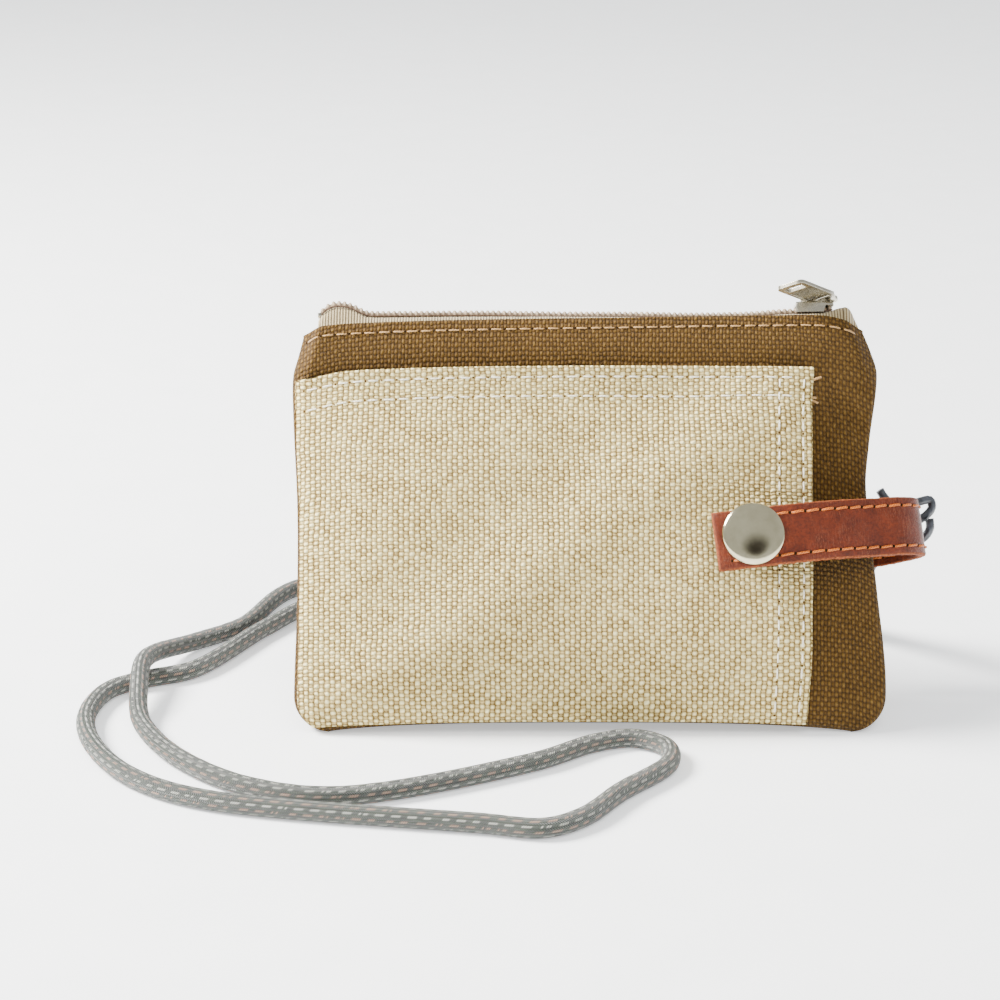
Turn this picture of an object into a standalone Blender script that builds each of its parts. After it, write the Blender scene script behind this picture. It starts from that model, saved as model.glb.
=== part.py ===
"""Neck pouch wallet: a canvas zip pouch with a card pocket, a snap strap and a corded neck loop.

Lengths are in millimetres until mesh_object() and cord_object() turn them into metres. The pouch is modelled
upright in its own frame (X along the zip, Y to the back, Z up the face), and the pouch_frame empty leans
that frame back. The neck cord lies on the floor, so it is modelled in the world frame.
"""

import math

import bmesh
import bpy
from mathutils import Vector

MM = 0.001
CLEARANCE = 0.3

# The pouch as it stands: it leans back on its full lower belly.
LEAN = math.radians(27.0)
SEAM_Y = -10.0
CANVAS = 1.2
SEAM_HALF_GAP = 0.2
EDGE_Y = SEAM_HALF_GAP + CANVAS
LEFT_SIDE = [(0, -62.4), (8, -62.7), (28, -62.3), (48, -62.5), (68, -63.6), (77, -63.7), (82, -62.5), (90, -60.6)]
RIGHT_SIDE = [(0, 62.4), (13, 62.8), (30, 61.4), (52, 59.5), (62, 60.4), (77, 62.4), (83, 61.0), (91, 57.8)]
TOP_EDGE = [(0, 85.7), (0.04, 87.0), (0.12, 87.6), (0.3, 88.2), (0.5, 88.6), (0.86, 89.2), (0.94, 89.0), (1, 86.8)]
BOTTOM_ARCH = 2.0
BOTTOM_CORNER = 7.5
FRONT_SWELL = [(0, 0), (0.05, 3.0), (0.12, 5.2), (0.25, 6.9), (0.45, 7.4), (0.7, 5.8), (0.9, 2.2), (1, 0)]
BACK_SWELL = [
    (0, 0), (0.02, 7.2), (0.05, 12.8), (0.09, 15.8), (0.15, 17.0), (0.25, 16.8), (0.4, 14.6), (0.6, 10.2),
    (0.8, 5.0), (1, 0),
]
MOUTH_HALF_WIDTH = 3.8
MOUTH_END = 4.0

# The card pocket.
POCKET_CANVAS = 1.0
POCKET_RIGHT = 47.0
POCKET_TOP = [(-64, 74.8), (-60, 75.5), (-52, 76.8), (-40, 77.2), (-20, 77.5), (10, 77.7), (60, 77.7)]
POCKET_EDGE_GAP = 0.45
POCKET_FULL_GAP = 1.5
SEWN_BORDER = 1.2

# The zip: a number 3 coil chain and its slider.
TAPE_Z = 89.9
CHAIN_RISE = -0.45
CHAIN_SLOPE = math.radians(0.3)
TAPE = 0.5
CHAIN_LEFT = -53.0
CHAIN_RIGHT = 54.4
CHAIN_HALF_GAP = 0.75
COIL_WIDTH = 1.55
COIL_HEIGHT = 1.6
COIL_Z = TAPE_Z + TAPE / 2 + 0.1 + COIL_HEIGHT / 2
SLIDER_X = 49.0
SLIDER_LENGTH = 8.2
SLIDER_HALF_WIDTH = 3.3
PLATE = 0.7
TOP_PLATE_Z = COIL_Z + COIL_HEIGHT / 2 + CLEARANCE + PLATE / 2

# The pull tab.
TAB_PIVOT_X = SLIDER_X + 3.25
TAB_LENGTH = 17.5
TAB_HALF_WIDTH = 3.2
TAB_PLATE = 0.8
TAB_HEADING = math.radians(-35.4)
TAB_Z = TOP_PLATE_Z + PLATE / 2 + 0.3 + TAB_PLATE / 2

# The leather strap and its snap.
STRAP_TILT = math.radians(7.0)
STRAP_WIDTH = 12.4
LEATHER = 1.9
SNAP_X = 34.1
SNAP_Z = 39.3
SNAP_FLAT = 5.6
BASE_PLATE = 0.8
SOCKET = 2.4
RIVET_S = 8.4

# The neck cord, from one side of its knot, along the floor round the front, and back to the knot.
CORD_DIAMETER = 4.0
CORD_ROUTE = [
    (64.0, 27.5, 33.4), (63.6, 32.4, 29.8), (58.5, 49.5, 8.0), (46, 64, 2), (8, 83, 2), (-35, 88, 2), (-68, 74, 2),
    (-79, 48, 2), (-88.5, 37.0, 2.4), (-96, 22.5, 5.2), (-97.4, 13.5, 6.4), (-97, 4, 5.2), (-95, -9, 2.2),
    (-85, -28, 2), (-69, -42.5, 2), (-51, -47, 2), (-12.5, -30.5, 2), (0.8, -20.4, 2), (8.8, -18.0, 2),
    (15.2, -22.4, 2), (15.4, -31.0, 2), (5, -45, 2), (-3, -57, 2), (-10.5, -61.8, 2), (-23, -59.6, 2),
    (-77.5, -48.5, 2), (-93, -38, 2), (-103.5, -21, 2), (-107, -5, 2), (-104, 9, 2), (-97, 15, 2), (-87.5, 20.5, 2),
    (-73, 47.5, 2), (-62, 63, 2), (-20, 73, 2), (30, 63.5, 2), (53, 53, 2), (60, 44.5, 8.5), (63.2, 33.0, 22.5),
    (67.4, 27.0, 30.0),
]


def interpolate(knots, t):
    """Catmull-Rom value at t of a smooth line through (position, value) knots."""
    if t <= knots[0][0]:
        return knots[0][1]
    if t >= knots[-1][0]:
        return knots[-1][1]
    i = max(k for k in range(len(knots) - 1) if knots[k][0] <= t)
    (x1, y1), (x2, y2) = knots[i], knots[i + 1]
    x0, y0 = knots[i - 1] if i > 0 else (2 * x1 - x2, 2 * y1 - y2)
    x3, y3 = knots[i + 2] if i + 2 < len(knots) else (2 * x2 - x1, 2 * y2 - y1)
    m1 = (y2 - y0) / (x2 - x0) * (x2 - x1)
    m2 = (y3 - y1) / (x3 - x1) * (x2 - x1)
    s = (t - x1) / (x2 - x1)
    return (
        y1 * (2 * s**3 - 3 * s**2 + 1)
        + m1 * (s**3 - 2 * s**2 + s)
        + y2 * (3 * s**2 - 2 * s**3)
        + m2 * (s**3 - s**2)
    )


def ease(t):
    """Smooth step from 0 to 1."""
    t = min(max(t, 0.0), 1.0)
    return t * t * (3 - 2 * t)


def smooth_path(points, spacing):
    """Centripetal Catmull-Rom curve through the points, as evenly spaced points."""
    points = [Vector(p) for p in points]
    ends = [2 * points[0] - points[1]] + points + [2 * points[-1] - points[-2]]
    dense = []
    for p0, p1, p2, p3 in zip(ends, ends[1:], ends[2:], ends[3:]):
        k0 = math.sqrt((p1 - p0).length)
        k1 = math.sqrt((p2 - p1).length)
        k2 = math.sqrt((p3 - p2).length)
        m1 = ((p1 - p0) / k0 - (p2 - p0) / (k0 + k1) + (p2 - p1) / k1) * k1
        m2 = ((p2 - p1) / k1 - (p3 - p1) / (k1 + k2) + (p3 - p2) / k2) * k1
        for step in range(24):
            s = step / 24
            dense.append(
                p1 * (2 * s**3 - 3 * s**2 + 1) + m1 * (s**3 - 2 * s**2 + s) + p2 * (3 * s**2 - 2 * s**3)
                + m2 * (s**3 - s**2)
            )
    dense.append(points[-1])
    return resample(dense, spacing)


def resample(line, spacing):
    """The same line with points an even distance apart."""
    total = sum((b - a).length for a, b in zip(line, line[1:]))
    count = max(2, round(total / spacing))
    step = total / count
    result = [line[0].copy()]
    travelled = 0.0
    for a, b in zip(line, line[1:]):
        length = (b - a).length
        while len(result) < count and travelled + length >= step * len(result):
            result.append(a.lerp(b, (step * len(result) - travelled) / length))
        travelled += length
    result.append(line[-1].copy())
    return result


# ---- objects and materials ------------------------------------------------------------------------------


def clear_scene():
    for obj in list(bpy.data.objects):
        bpy.data.objects.remove(obj)


def material(name, colour, roughness, metallic=0.0):
    made = bpy.data.materials.new(name)
    made.use_nodes = True
    shader = made.node_tree.nodes["Principled BSDF"]
    shader.inputs["Base Color"].default_value = (*colour, 1.0)
    shader.inputs["Roughness"].default_value = roughness
    shader.inputs["Metallic"].default_value = metallic
    return made


def mesh_object(name, points, faces, finish, parent=None):
    """One closed solid from points in millimetres."""
    mesh = bpy.data.meshes.new(name)
    mesh.from_pydata([Vector(p) * MM for p in points], [], faces)
    bm = bmesh.new()
    bm.from_mesh(mesh)
    bmesh.ops.recalc_face_normals(bm, faces=bm.faces)
    bm.to_mesh(mesh)
    bm.free()
    obj = bpy.data.objects.new(name, mesh)
    bpy.context.collection.objects.link(obj)
    if finish:
        mesh.materials.append(finish)
    obj.parent = parent
    return obj


def empty(name, location=(0, 0, 0), rotation=(0, 0, 0), parent=None):
    obj = bpy.data.objects.new(name, None)
    bpy.context.collection.objects.link(obj)
    obj.location = Vector(location) * MM
    obj.rotation_euler = rotation
    obj.parent = parent
    return obj


def combine(obj, tool, operation):
    """Boolean of two objects, with the tool kept as a hidden helper."""
    tool.hide_render = True
    tool.display_type = "WIRE"
    modifier = obj.modifiers.new(operation.lower(), "BOOLEAN")
    modifier.operation = operation
    modifier.object = tool
    modifier.solver = "EXACT"


# ---- solids ---------------------------------------------------------------------------------------------


def shell(outer, inner):
    """Points and faces of the closed solid between two grids of points, outer[i][j] and inner[i][j]."""
    rows = len(outer)
    columns = len(outer[0])
    points = [p for row in outer for p in row] + [p for row in inner for p in row]
    offset = rows * columns

    def at(i, j):
        return i * columns + j

    faces = []
    for i in range(rows - 1):
        for j in range(columns - 1):
            faces.append((at(i, j), at(i, j + 1), at(i + 1, j + 1), at(i + 1, j)))
            faces.append(tuple(offset + k for k in (at(i, j), at(i + 1, j), at(i + 1, j + 1), at(i, j + 1))))
    rim = [at(0, j) for j in range(columns)]
    rim += [at(i, columns - 1) for i in range(1, rows)]
    rim += [at(rows - 1, j) for j in range(columns - 2, -1, -1)]
    rim += [at(i, 0) for i in range(rows - 2, 0, -1)]
    for a, b in zip(rim, rim[1:] + rim[:1]):
        faces.append((b, a, offset + a, offset + b))
    return points, faces


def loft(sections):
    """Points and faces of a solid through closed sections of equally many points, capped at both ends."""
    count = len(sections[0])
    points = [p for section in sections for p in section]
    faces = [tuple(range(count)), tuple(range(len(points) - count, len(points)))]
    for i in range(len(sections) - 1):
        for j in range(count):
            k = (j + 1) % count
            faces.append((i * count + j, i * count + k, (i + 1) * count + k, (i + 1) * count + j))
    return points, faces


def lathe(name, profile, finish, parent, location, sides=24):
    """Solid of revolution about local Y from (radius, y) points, each end of the profile on the axis."""
    ring_points = profile[1:-1]
    points = [Vector((0, profile[0][1], 0)), Vector((0, profile[-1][1], 0))]
    for radius, y in ring_points:
        for side in range(sides):
            turn = math.tau * side / sides
            points.append(Vector((radius * math.cos(turn), y, radius * math.sin(turn))))
    faces = []
    for side in range(sides):
        after = (side + 1) % sides
        faces.append((0, 2 + side, 2 + after))
        last = 2 + (len(ring_points) - 1) * sides
        faces.append((1, last + after, last + side))
        for ring in range(len(ring_points) - 1):
            low = 2 + ring * sides
            faces.append((low + side, low + sides + side, low + sides + after, low + after))
    obj = mesh_object(name, points, faces, finish, parent)
    obj.location = Vector(location) * MM
    return obj


def ring_lathe(name, profile, finish, parent, location, sides=24):
    """Ring about local Y from a closed (radius, y) profile that stays off the axis."""
    count = len(profile)
    points = []
    for side in range(sides):
        turn = math.tau * side / sides
        for radius, y in profile:
            points.append(Vector((radius * math.cos(turn), y, radius * math.sin(turn))))
    faces = []
    for side in range(sides):
        after = (side + 1) % sides
        for k in range(count):
            n = (k + 1) % count
            faces.append((side * count + k, side * count + n, after * count + n, after * count + k))
    obj = mesh_object(name, points, faces, finish, parent)
    obj.location = Vector(location) * MM
    return obj


def box_points(low, high):
    (x0, y0, z0), (x1, y1, z1) = low, high
    near = [Vector((x, y, z0)) for x, y in ((x0, y0), (x1, y0), (x1, y1), (x0, y1))]
    far = [Vector((p.x, p.y, z1)) for p in near]
    return loft([near, far])


def prism(outline, z0, z1):
    """Solid over an (x, y) outline from z0 to z1."""
    return loft([[Vector((x, y, z0)) for x, y in outline], [Vector((x, y, z1)) for x, y in outline]])


def tube(path, radius, sides=10):
    """Closed round solid along a path."""
    sections = []
    side = Vector((0, 0, 1))
    for i, p in enumerate(path):
        ahead = (path[min(i + 1, len(path) - 1)] - path[max(i - 1, 0)]).normalized()
        side = (side - ahead * side.dot(ahead)).normalized()
        across = ahead.cross(side)
        sections.append([
            p + radius * (math.cos(a) * side + math.sin(a) * across)
            for a in (math.tau * k / sides for k in range(sides))
        ])
    return loft(sections)


# ---- the pouch surface ----------------------------------------------------------------------------------


def seam_point(u, v):
    """(x, z) of the flat pattern at u across and v up, with the bottom corners rounded."""
    z_low = BOTTOM_ARCH * (1 - abs(2 * u - 1) ** 3)
    z = z_low + v * (interpolate(TOP_EDGE, u) - z_low)
    inset = 0.0
    if z < BOTTOM_CORNER:
        inset = BOTTOM_CORNER - math.sqrt(BOTTOM_CORNER**2 - (BOTTOM_CORNER - z) ** 2)
    left = interpolate(LEFT_SIDE, z) + inset
    right = interpolate(RIGHT_SIDE, z) - inset
    return left + u * (right - left), z


def swell(u, v, profile):
    """How far a panel's outer face stands off the seam plane."""
    side = (1 - min(abs(2 * u - 1), 1.0) ** 3) ** 0.7
    width = interpolate(RIGHT_SIDE, 90) - interpolate(LEFT_SIDE, 90)
    from_end = min(u, 1 - u) * width
    mouth = MOUTH_HALF_WIDTH * ease(from_end / MOUTH_END) * ease((v - 0.78) / 0.2)
    return EDGE_Y + side * interpolate(profile, v) + mouth


def front_point(u, v):
    x, z = seam_point(u, v)
    return Vector((x, -swell(u, v, FRONT_SWELL), z))


def back_point(u, v):
    """The back panel's outer face, pressed flat where it rests on the floor."""
    x, z = seam_point(u, v)
    y = swell(u, v, BACK_SWELL)
    height = z * math.cos(LEAN) - y * math.sin(LEAN)
    if height < 0:
        y += height * math.sin(LEAN)
        z -= height * math.cos(LEAN)
    return Vector((x, y, z))


def grid_normals(grid, towards):
    """Unit normals of a grid of points, on the side of the given direction."""
    rows = len(grid)
    columns = len(grid[0])
    normals = []
    for i in range(rows):
        row = []
        for j in range(columns):
            down = grid[max(i - 1, 0)][j]
            up = grid[min(i + 1, rows - 1)][j]
            left = grid[i][max(j - 1, 0)]
            right = grid[i][min(j + 1, columns - 1)]
            normal = (right - left).cross(up - down).normalized()
            row.append(normal if normal.dot(towards) > 0 else -normal)
        normals.append(row)
    return normals


def across_steps(count):
    """Positions from 0 to 1, closer together near both ends."""
    return [0.5 - 0.5 * math.cos(math.pi * k / count) for k in range(count + 1)]


def panel(name, point, direction, finish, parent):
    """A canvas panel from its outer face, thickened inwards and kept on its own side of the seam."""
    us = across_steps(24)
    vs = [(k / 18) ** 1.35 for k in range(19)]
    outer = [[point(u, v) for u in us] for v in vs]
    normals = grid_normals(outer, Vector((0, direction, 0)))
    inner = []
    for points, ups in zip(outer, normals):
        row = []
        for p, n in zip(points, ups):
            q = p - n * CANVAS
            q.y = direction * max(direction * q.y, SEAM_HALF_GAP)
            row.append(q)
        inner.append(row)
    points, faces = shell(outer, inner)
    return mesh_object(name, points, faces, finish, parent)


def locate(x, z):
    """The (u, v) of the front face at x and z."""
    u = v = 0.5
    for _ in range(12):
        at_x, at_z = seam_point(u, v)
        v = min(max(v + (z - at_z) / 88.0, 0.0), 1.0)
        u = min(max(u + (x - at_x) / 123.0, 0.0), 1.0)
    return u, v


def front_at(x, z):
    """Point and outward normal of the front panel's face at x and z."""
    u, v = locate(x, z)
    step = 0.01
    u0, u1 = max(u - step, 0.0), min(u + step, 1.0)
    v0, v1 = max(v - step, 0.0), min(v + step, 1.0)
    along = front_point(u1, v) - front_point(u0, v)
    up = front_point(u, v1) - front_point(u, v0)
    normal = along.cross(up).normalized()
    return front_point(u, v), normal if normal.y < 0 else -normal


def card_pocket_grid(depth):
    """Grid of the pocket at a depth outwards from its inner face, pressed flat round the snap."""
    centre, normal = front_at(SNAP_X, SNAP_Z)
    flat_y = centre.y - POCKET_FULL_GAP
    grid = []
    for v in [(k / 16) ** 1.2 for k in range(17)]:
        row = []
        for u in across_steps(24):
            z_guess = 1.5 + v * 76
            left = interpolate(LEFT_SIDE, z_guess) + SEWN_BORDER
            if z_guess < BOTTOM_CORNER + 2:
                reach = BOTTOM_CORNER + 2 - z_guess
                left += BOTTOM_CORNER - math.sqrt(BOTTOM_CORNER**2 - min(reach, BOTTOM_CORNER) ** 2)
            x = left + u * (POCKET_RIGHT - left)
            pattern_u = (x + 62.4) / 124.8
            low = BOTTOM_ARCH * (1 - abs(2 * pattern_u - 1) ** 3) + 1.0
            z = low + v * (interpolate(POCKET_TOP, x) - low)
            p, n = front_at(x, z)
            loose = ease((x - left) / 16) * ease((z - low) / 16)
            gap = POCKET_EDGE_GAP + (POCKET_FULL_GAP - POCKET_EDGE_GAP) * loose
            q = p + n * gap
            away = math.hypot(x - SNAP_X, z - SNAP_Z)
            pressed = 1 - ease((away - SNAP_FLAT) / 5)
            q.y += (flat_y - q.y) * pressed
            n = n.lerp(Vector((0, -1, 0)), pressed).normalized()
            row.append(q + n * depth)
        grid.append(row)
    return grid, flat_y


# ---- canvas body ----------------------------------------------------------------------------------------


def make_panels(pouch, finishes):
    front = panel("front_panel", front_point, -1, finishes["canvas"], pouch)
    back = panel("back_panel", back_point, 1, finishes["canvas"], pouch)
    return front, back


def make_card_pocket(pouch, finishes):
    inner, flat_y = card_pocket_grid(0.0)
    outer, _ = card_pocket_grid(POCKET_CANVAS)
    points, faces = shell(outer, inner)
    pocket = mesh_object("card_pocket", points, faces, finishes["pocket_canvas"], pouch)
    return pocket, flat_y - POCKET_CANVAS


def make_bindings(pouch, finishes):
    """Tape folded over the seam allowances, inside the pouch."""
    half = 0.65
    width = 6.5
    for name, knots, inward in (
        ("seam_binding_left", LEFT_SIDE, 1),
        ("seam_binding_right", RIGHT_SIDE, -1),
    ):
        sections = []
        for k in range(13):
            z = 15.0 + k * 5.2
            edge = interpolate(knots, z) + inward * 4.5
            xs = (edge, edge + inward * width)
            sections.append([
                Vector((xs[0], -half, z)), Vector((xs[1], -half, z)), Vector((xs[1], half, z)), Vector((xs[0], half, z)),
            ])
        points, faces = loft(sections)
        mesh_object(name, points, faces, finishes["binding"], pouch)
    sections = []
    for k in range(17):
        x = -48.0 + k * 6.0
        z = 5.4 + BOTTOM_ARCH * (1 - abs(x / 62.4) ** 3)
        sections.append([
            Vector((x, -half, z)), Vector((x, half, z)), Vector((x, half, z + width)), Vector((x, -half, z + width)),
        ])
    points, faces = loft(sections)
    mesh_object("seam_binding_bottom", points, faces, finishes["binding"], pouch)


# ---- zip ------------------------------------------------------------------------------------------------


def tape_line(x, side):
    """Centre line of one zip tape at x, from beside the chain to under the panel's top fold."""
    u, _ = locate(x, 88.0)
    top = swell(u, 1.0, FRONT_SWELL)
    inside = top - CANVAS - CLEARANCE - TAPE / 2 - 0.1
    hang = 7.0
    return [
        Vector((x, side * CHAIN_HALF_GAP, TAPE_Z)),
        Vector((x, side * (inside - 0.9), TAPE_Z)),
        Vector((x, side * (inside - 0.25), TAPE_Z - 0.3)),
        Vector((x, side * inside, TAPE_Z - 1.2)),
        Vector((x, side * (inside + 0.02), TAPE_Z - hang)),
    ]


def thicken(line, half):
    """Closed section round a line in the plane of Y and Z."""
    above = []
    below = []
    for i, p in enumerate(line):
        ahead = (line[min(i + 1, len(line) - 1)] - line[max(i - 1, 0)]).normalized()
        normal = Vector((0, -ahead.z, ahead.y))
        above.append(p + normal * half)
        below.append(p - normal * half)
    return above + below[::-1]


def make_zip_frame(pouch):
    """Frame of the chain, which climbs a little towards its closed end."""
    pivot = empty("zip_pivot", (0, 0, TAPE_Z + CHAIN_RISE), (0, -CHAIN_SLOPE, 0), pouch)
    return empty("zip_frame", (0, 0, -TAPE_Z), parent=pivot)


def make_zip(zip_frame, finishes):
    for name, side in (("front", -1), ("back", 1)):
        xs = [CHAIN_LEFT - 1.5 + (CHAIN_RIGHT - CHAIN_LEFT + 0.8) * k / 24 for k in range(25)]
        points, faces = loft([thicken(tape_line(x, side), TAPE / 2) for x in xs])
        mesh_object(f"zip_tape_{name}", points, faces, finishes["zip_tape"], zip_frame)
        near = CHAIN_HALF_GAP + 0.05
        outline = [(near, -0.5), (near + 0.35, -0.8), (near + COIL_WIDTH - 0.4, -0.8), (near + COIL_WIDTH, -0.4),
                   (near + COIL_WIDTH, 0.4), (near + COIL_WIDTH - 0.4, 0.8), (near + 0.35, 0.8), (near, 0.5)]
        sections = [
            [Vector((x, side * y, COIL_Z + z)) for y, z in outline] for x in (CHAIN_LEFT, CHAIN_RIGHT - 1.0)
        ]
        points, faces = loft(sections)
        mesh_object(f"zip_coil_{name}", points, faces, finishes["zip_coil"], zip_frame)
        low = (CHAIN_RIGHT - 1.0 + CLEARANCE, side * near, TAPE_Z + TAPE / 2 + 0.1)
        high = (CHAIN_RIGHT + 0.5, side * (near + COIL_WIDTH), COIL_Z + 0.8)
        points, faces = box_points(low, high)
        mesh_object(f"zip_top_stop_{name}", points, faces, finishes["nickel"], zip_frame)
    low = (CHAIN_LEFT - 1.3, -2.3, TAPE_Z + TAPE / 2 + 0.1)
    high = (CHAIN_LEFT - CLEARANCE, 2.3, COIL_Z + 0.8)
    points, faces = box_points(low, high)
    mesh_object("zip_bottom_stop", points, faces, finishes["nickel"], zip_frame)


def make_slider(zip_frame, finishes):
    """Slider body: a channel over the coils, a bottom plate, and the divider that joins them at the nose."""
    slider = empty("slider_frame", (SLIDER_X, 0, 0), parent=zip_frame)
    half = SLIDER_LENGTH / 2
    top = TOP_PLATE_Z + PLATE / 2
    under_top = TOP_PLATE_Z - PLATE / 2
    flange_low = TAPE_Z + TAPE / 2 + 0.35
    inner = CHAIN_HALF_GAP + 0.05 + COIL_WIDTH + CLEARANCE
    outer = SLIDER_HALF_WIDTH
    section = [(-outer, flange_low), (-inner, flange_low), (-inner, under_top), (inner, under_top),
               (inner, flange_low), (outer, flange_low), (outer, top - 0.25), (outer - 0.3, top),
               (0.3 - outer, top), (-outer, top - 0.25)]
    points, faces = loft([[Vector((x, y, z)) for y, z in section] for x in (-half, half)])
    body = mesh_object("slider_body", points, faces, finishes["nickel"], slider)

    bottom_top = TAPE_Z - TAPE / 2 - CLEARANCE
    points, faces = box_points((-half, -2.2, bottom_top - 0.6), (half, 2.2, bottom_top))
    plate = mesh_object("slider_bottom_plate_tool", points, faces, None, slider)
    combine(body, plate, "UNION")
    divider = 0.42
    points, faces = box_points((1.0, -divider, bottom_top - 0.3), (half - 0.2, divider, TOP_PLATE_Z))
    wedge = mesh_object("slider_divider_tool", points, faces, None, slider)
    combine(body, wedge, "UNION")

    # The bridge is an arch along the slider, its feet on the top plate.
    rise = 2.1
    leg = 0.55
    foot = top + 0.06
    outline = [(-2.3 - leg, foot), (-2.3 + leg, foot), (-2.3 + leg, foot + rise - 0.7), (-1.2, foot + rise - 0.35),
               (1.6, foot + rise - 0.35), (2.7, foot + rise - 0.8), (2.7, foot), (3.8, foot),
               (3.8, foot + rise - 0.4), (2.6, foot + rise + 0.35), (-1.6, foot + rise + 0.35),
               (-2.3 - leg, foot + rise - 0.3)]
    points, faces = loft([[Vector((x, y, z)) for x, z in outline] for y in (-0.7, 0.7)])
    mesh_object("slider_bridge", points, faces, finishes["nickel"], slider)
    return slider


def make_pull_tab(zip_frame, finishes):
    """Flat tab whose eye goes round the bridge's left leg, modelled lengthways along its own -Y."""
    swing = empty("pull_tab_frame", (TAB_PIVOT_X, 0, TAB_Z), (0, 0, TAB_HEADING), zip_frame)
    eye = 2.05
    half = TAB_HALF_WIDTH
    neck = [(eye * math.sin(a), eye * math.cos(a)) for a in (math.radians(-100 + 25 * k) for k in range(9))]
    outline = neck + [(half - 0.2, -2.6), (half, -3.2), (half, -TAB_LENGTH + 0.8), (half - 0.8, -TAB_LENGTH),
                      (0.8 - half, -TAB_LENGTH), (-half, -TAB_LENGTH + 0.8), (-half, -3.2), (0.2 - half, -2.6)]
    points, faces = prism(outline, -TAB_PLATE / 2, TAB_PLATE / 2)
    tab = mesh_object("pull_tab", points, faces, finishes["nickel"], swing)
    hole = [(1.3 * math.cos(math.tau * k / 16), 1.3 * math.sin(math.tau * k / 16)) for k in range(16)]
    points, faces = prism(hole, -1.0, 1.0)
    combine(tab, mesh_object("pull_tab_eye_tool", points, faces, None, swing), "DIFFERENCE")
    slot_half = 2.1
    points, faces = box_points((-slot_half, -TAB_LENGTH + 1.6, -1.0), (slot_half, -TAB_LENGTH + 4.0, 1.0))
    combine(tab, mesh_object("pull_tab_slot_tool", points, faces, None, swing), "DIFFERENCE")
    return swing


# ---- strap and snap -------------------------------------------------------------------------------------


def strap_solid(name, path, finish, parent, hinge_end):
    """A strip of leather on a path of (x, y) points, with a round end where it meets the bend."""
    half = LEATHER / 2
    line = [Vector((x, y, 0)) for x, y in path]
    left = []
    right = []
    for i, p in enumerate(line):
        ahead = (line[min(i + 1, len(line) - 1)] - line[max(i - 1, 0)]).normalized()
        normal = Vector((-ahead.y, ahead.x, 0))
        left.append(p + normal * half)
        right.append(p - normal * half)
    cap = []
    if hinge_end:
        ahead = (line[-1] - line[-2]).normalized()
        normal = Vector((-ahead.y, ahead.x, 0))
        for k in range(1, 6):
            turn = math.pi * k / 6
            cap.append(line[-1] + half * (math.cos(turn) * normal + math.sin(turn) * ahead))
    outline = [(p.x, p.y) for p in left + cap + right[::-1]]
    points, faces = prism(outline, -STRAP_WIDTH / 2, STRAP_WIDTH / 2)
    return mesh_object(name, points, faces, finish, parent)


def through_hole(obj, parent, x, radius, y0, y1):
    """Round hole along Y."""
    ring = [(x + radius * math.cos(math.tau * k / 20), radius * math.sin(math.tau * k / 20)) for k in range(20)]
    points, faces = loft([[Vector((px, y, pz)) for px, pz in ring] for y in (y0, y1)])
    combine(obj, mesh_object(f"{obj.name}_hole_tool", points, faces, None, parent), "DIFFERENCE")


def strap_clear_of_back(s):
    """Centre of a strap that lies on the back panel, at s along the strap from the snap."""
    highest = 0.0
    for across in (-1, -0.5, 0, 0.5, 1):
        x = SNAP_X + s * math.cos(STRAP_TILT)
        z = SNAP_Z + s * math.sin(STRAP_TILT) + across * STRAP_WIDTH / 2
        highest = max(highest, back_point(*locate(x, z)).y)
    return highest + CLEARANCE + LEATHER / 2


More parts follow.
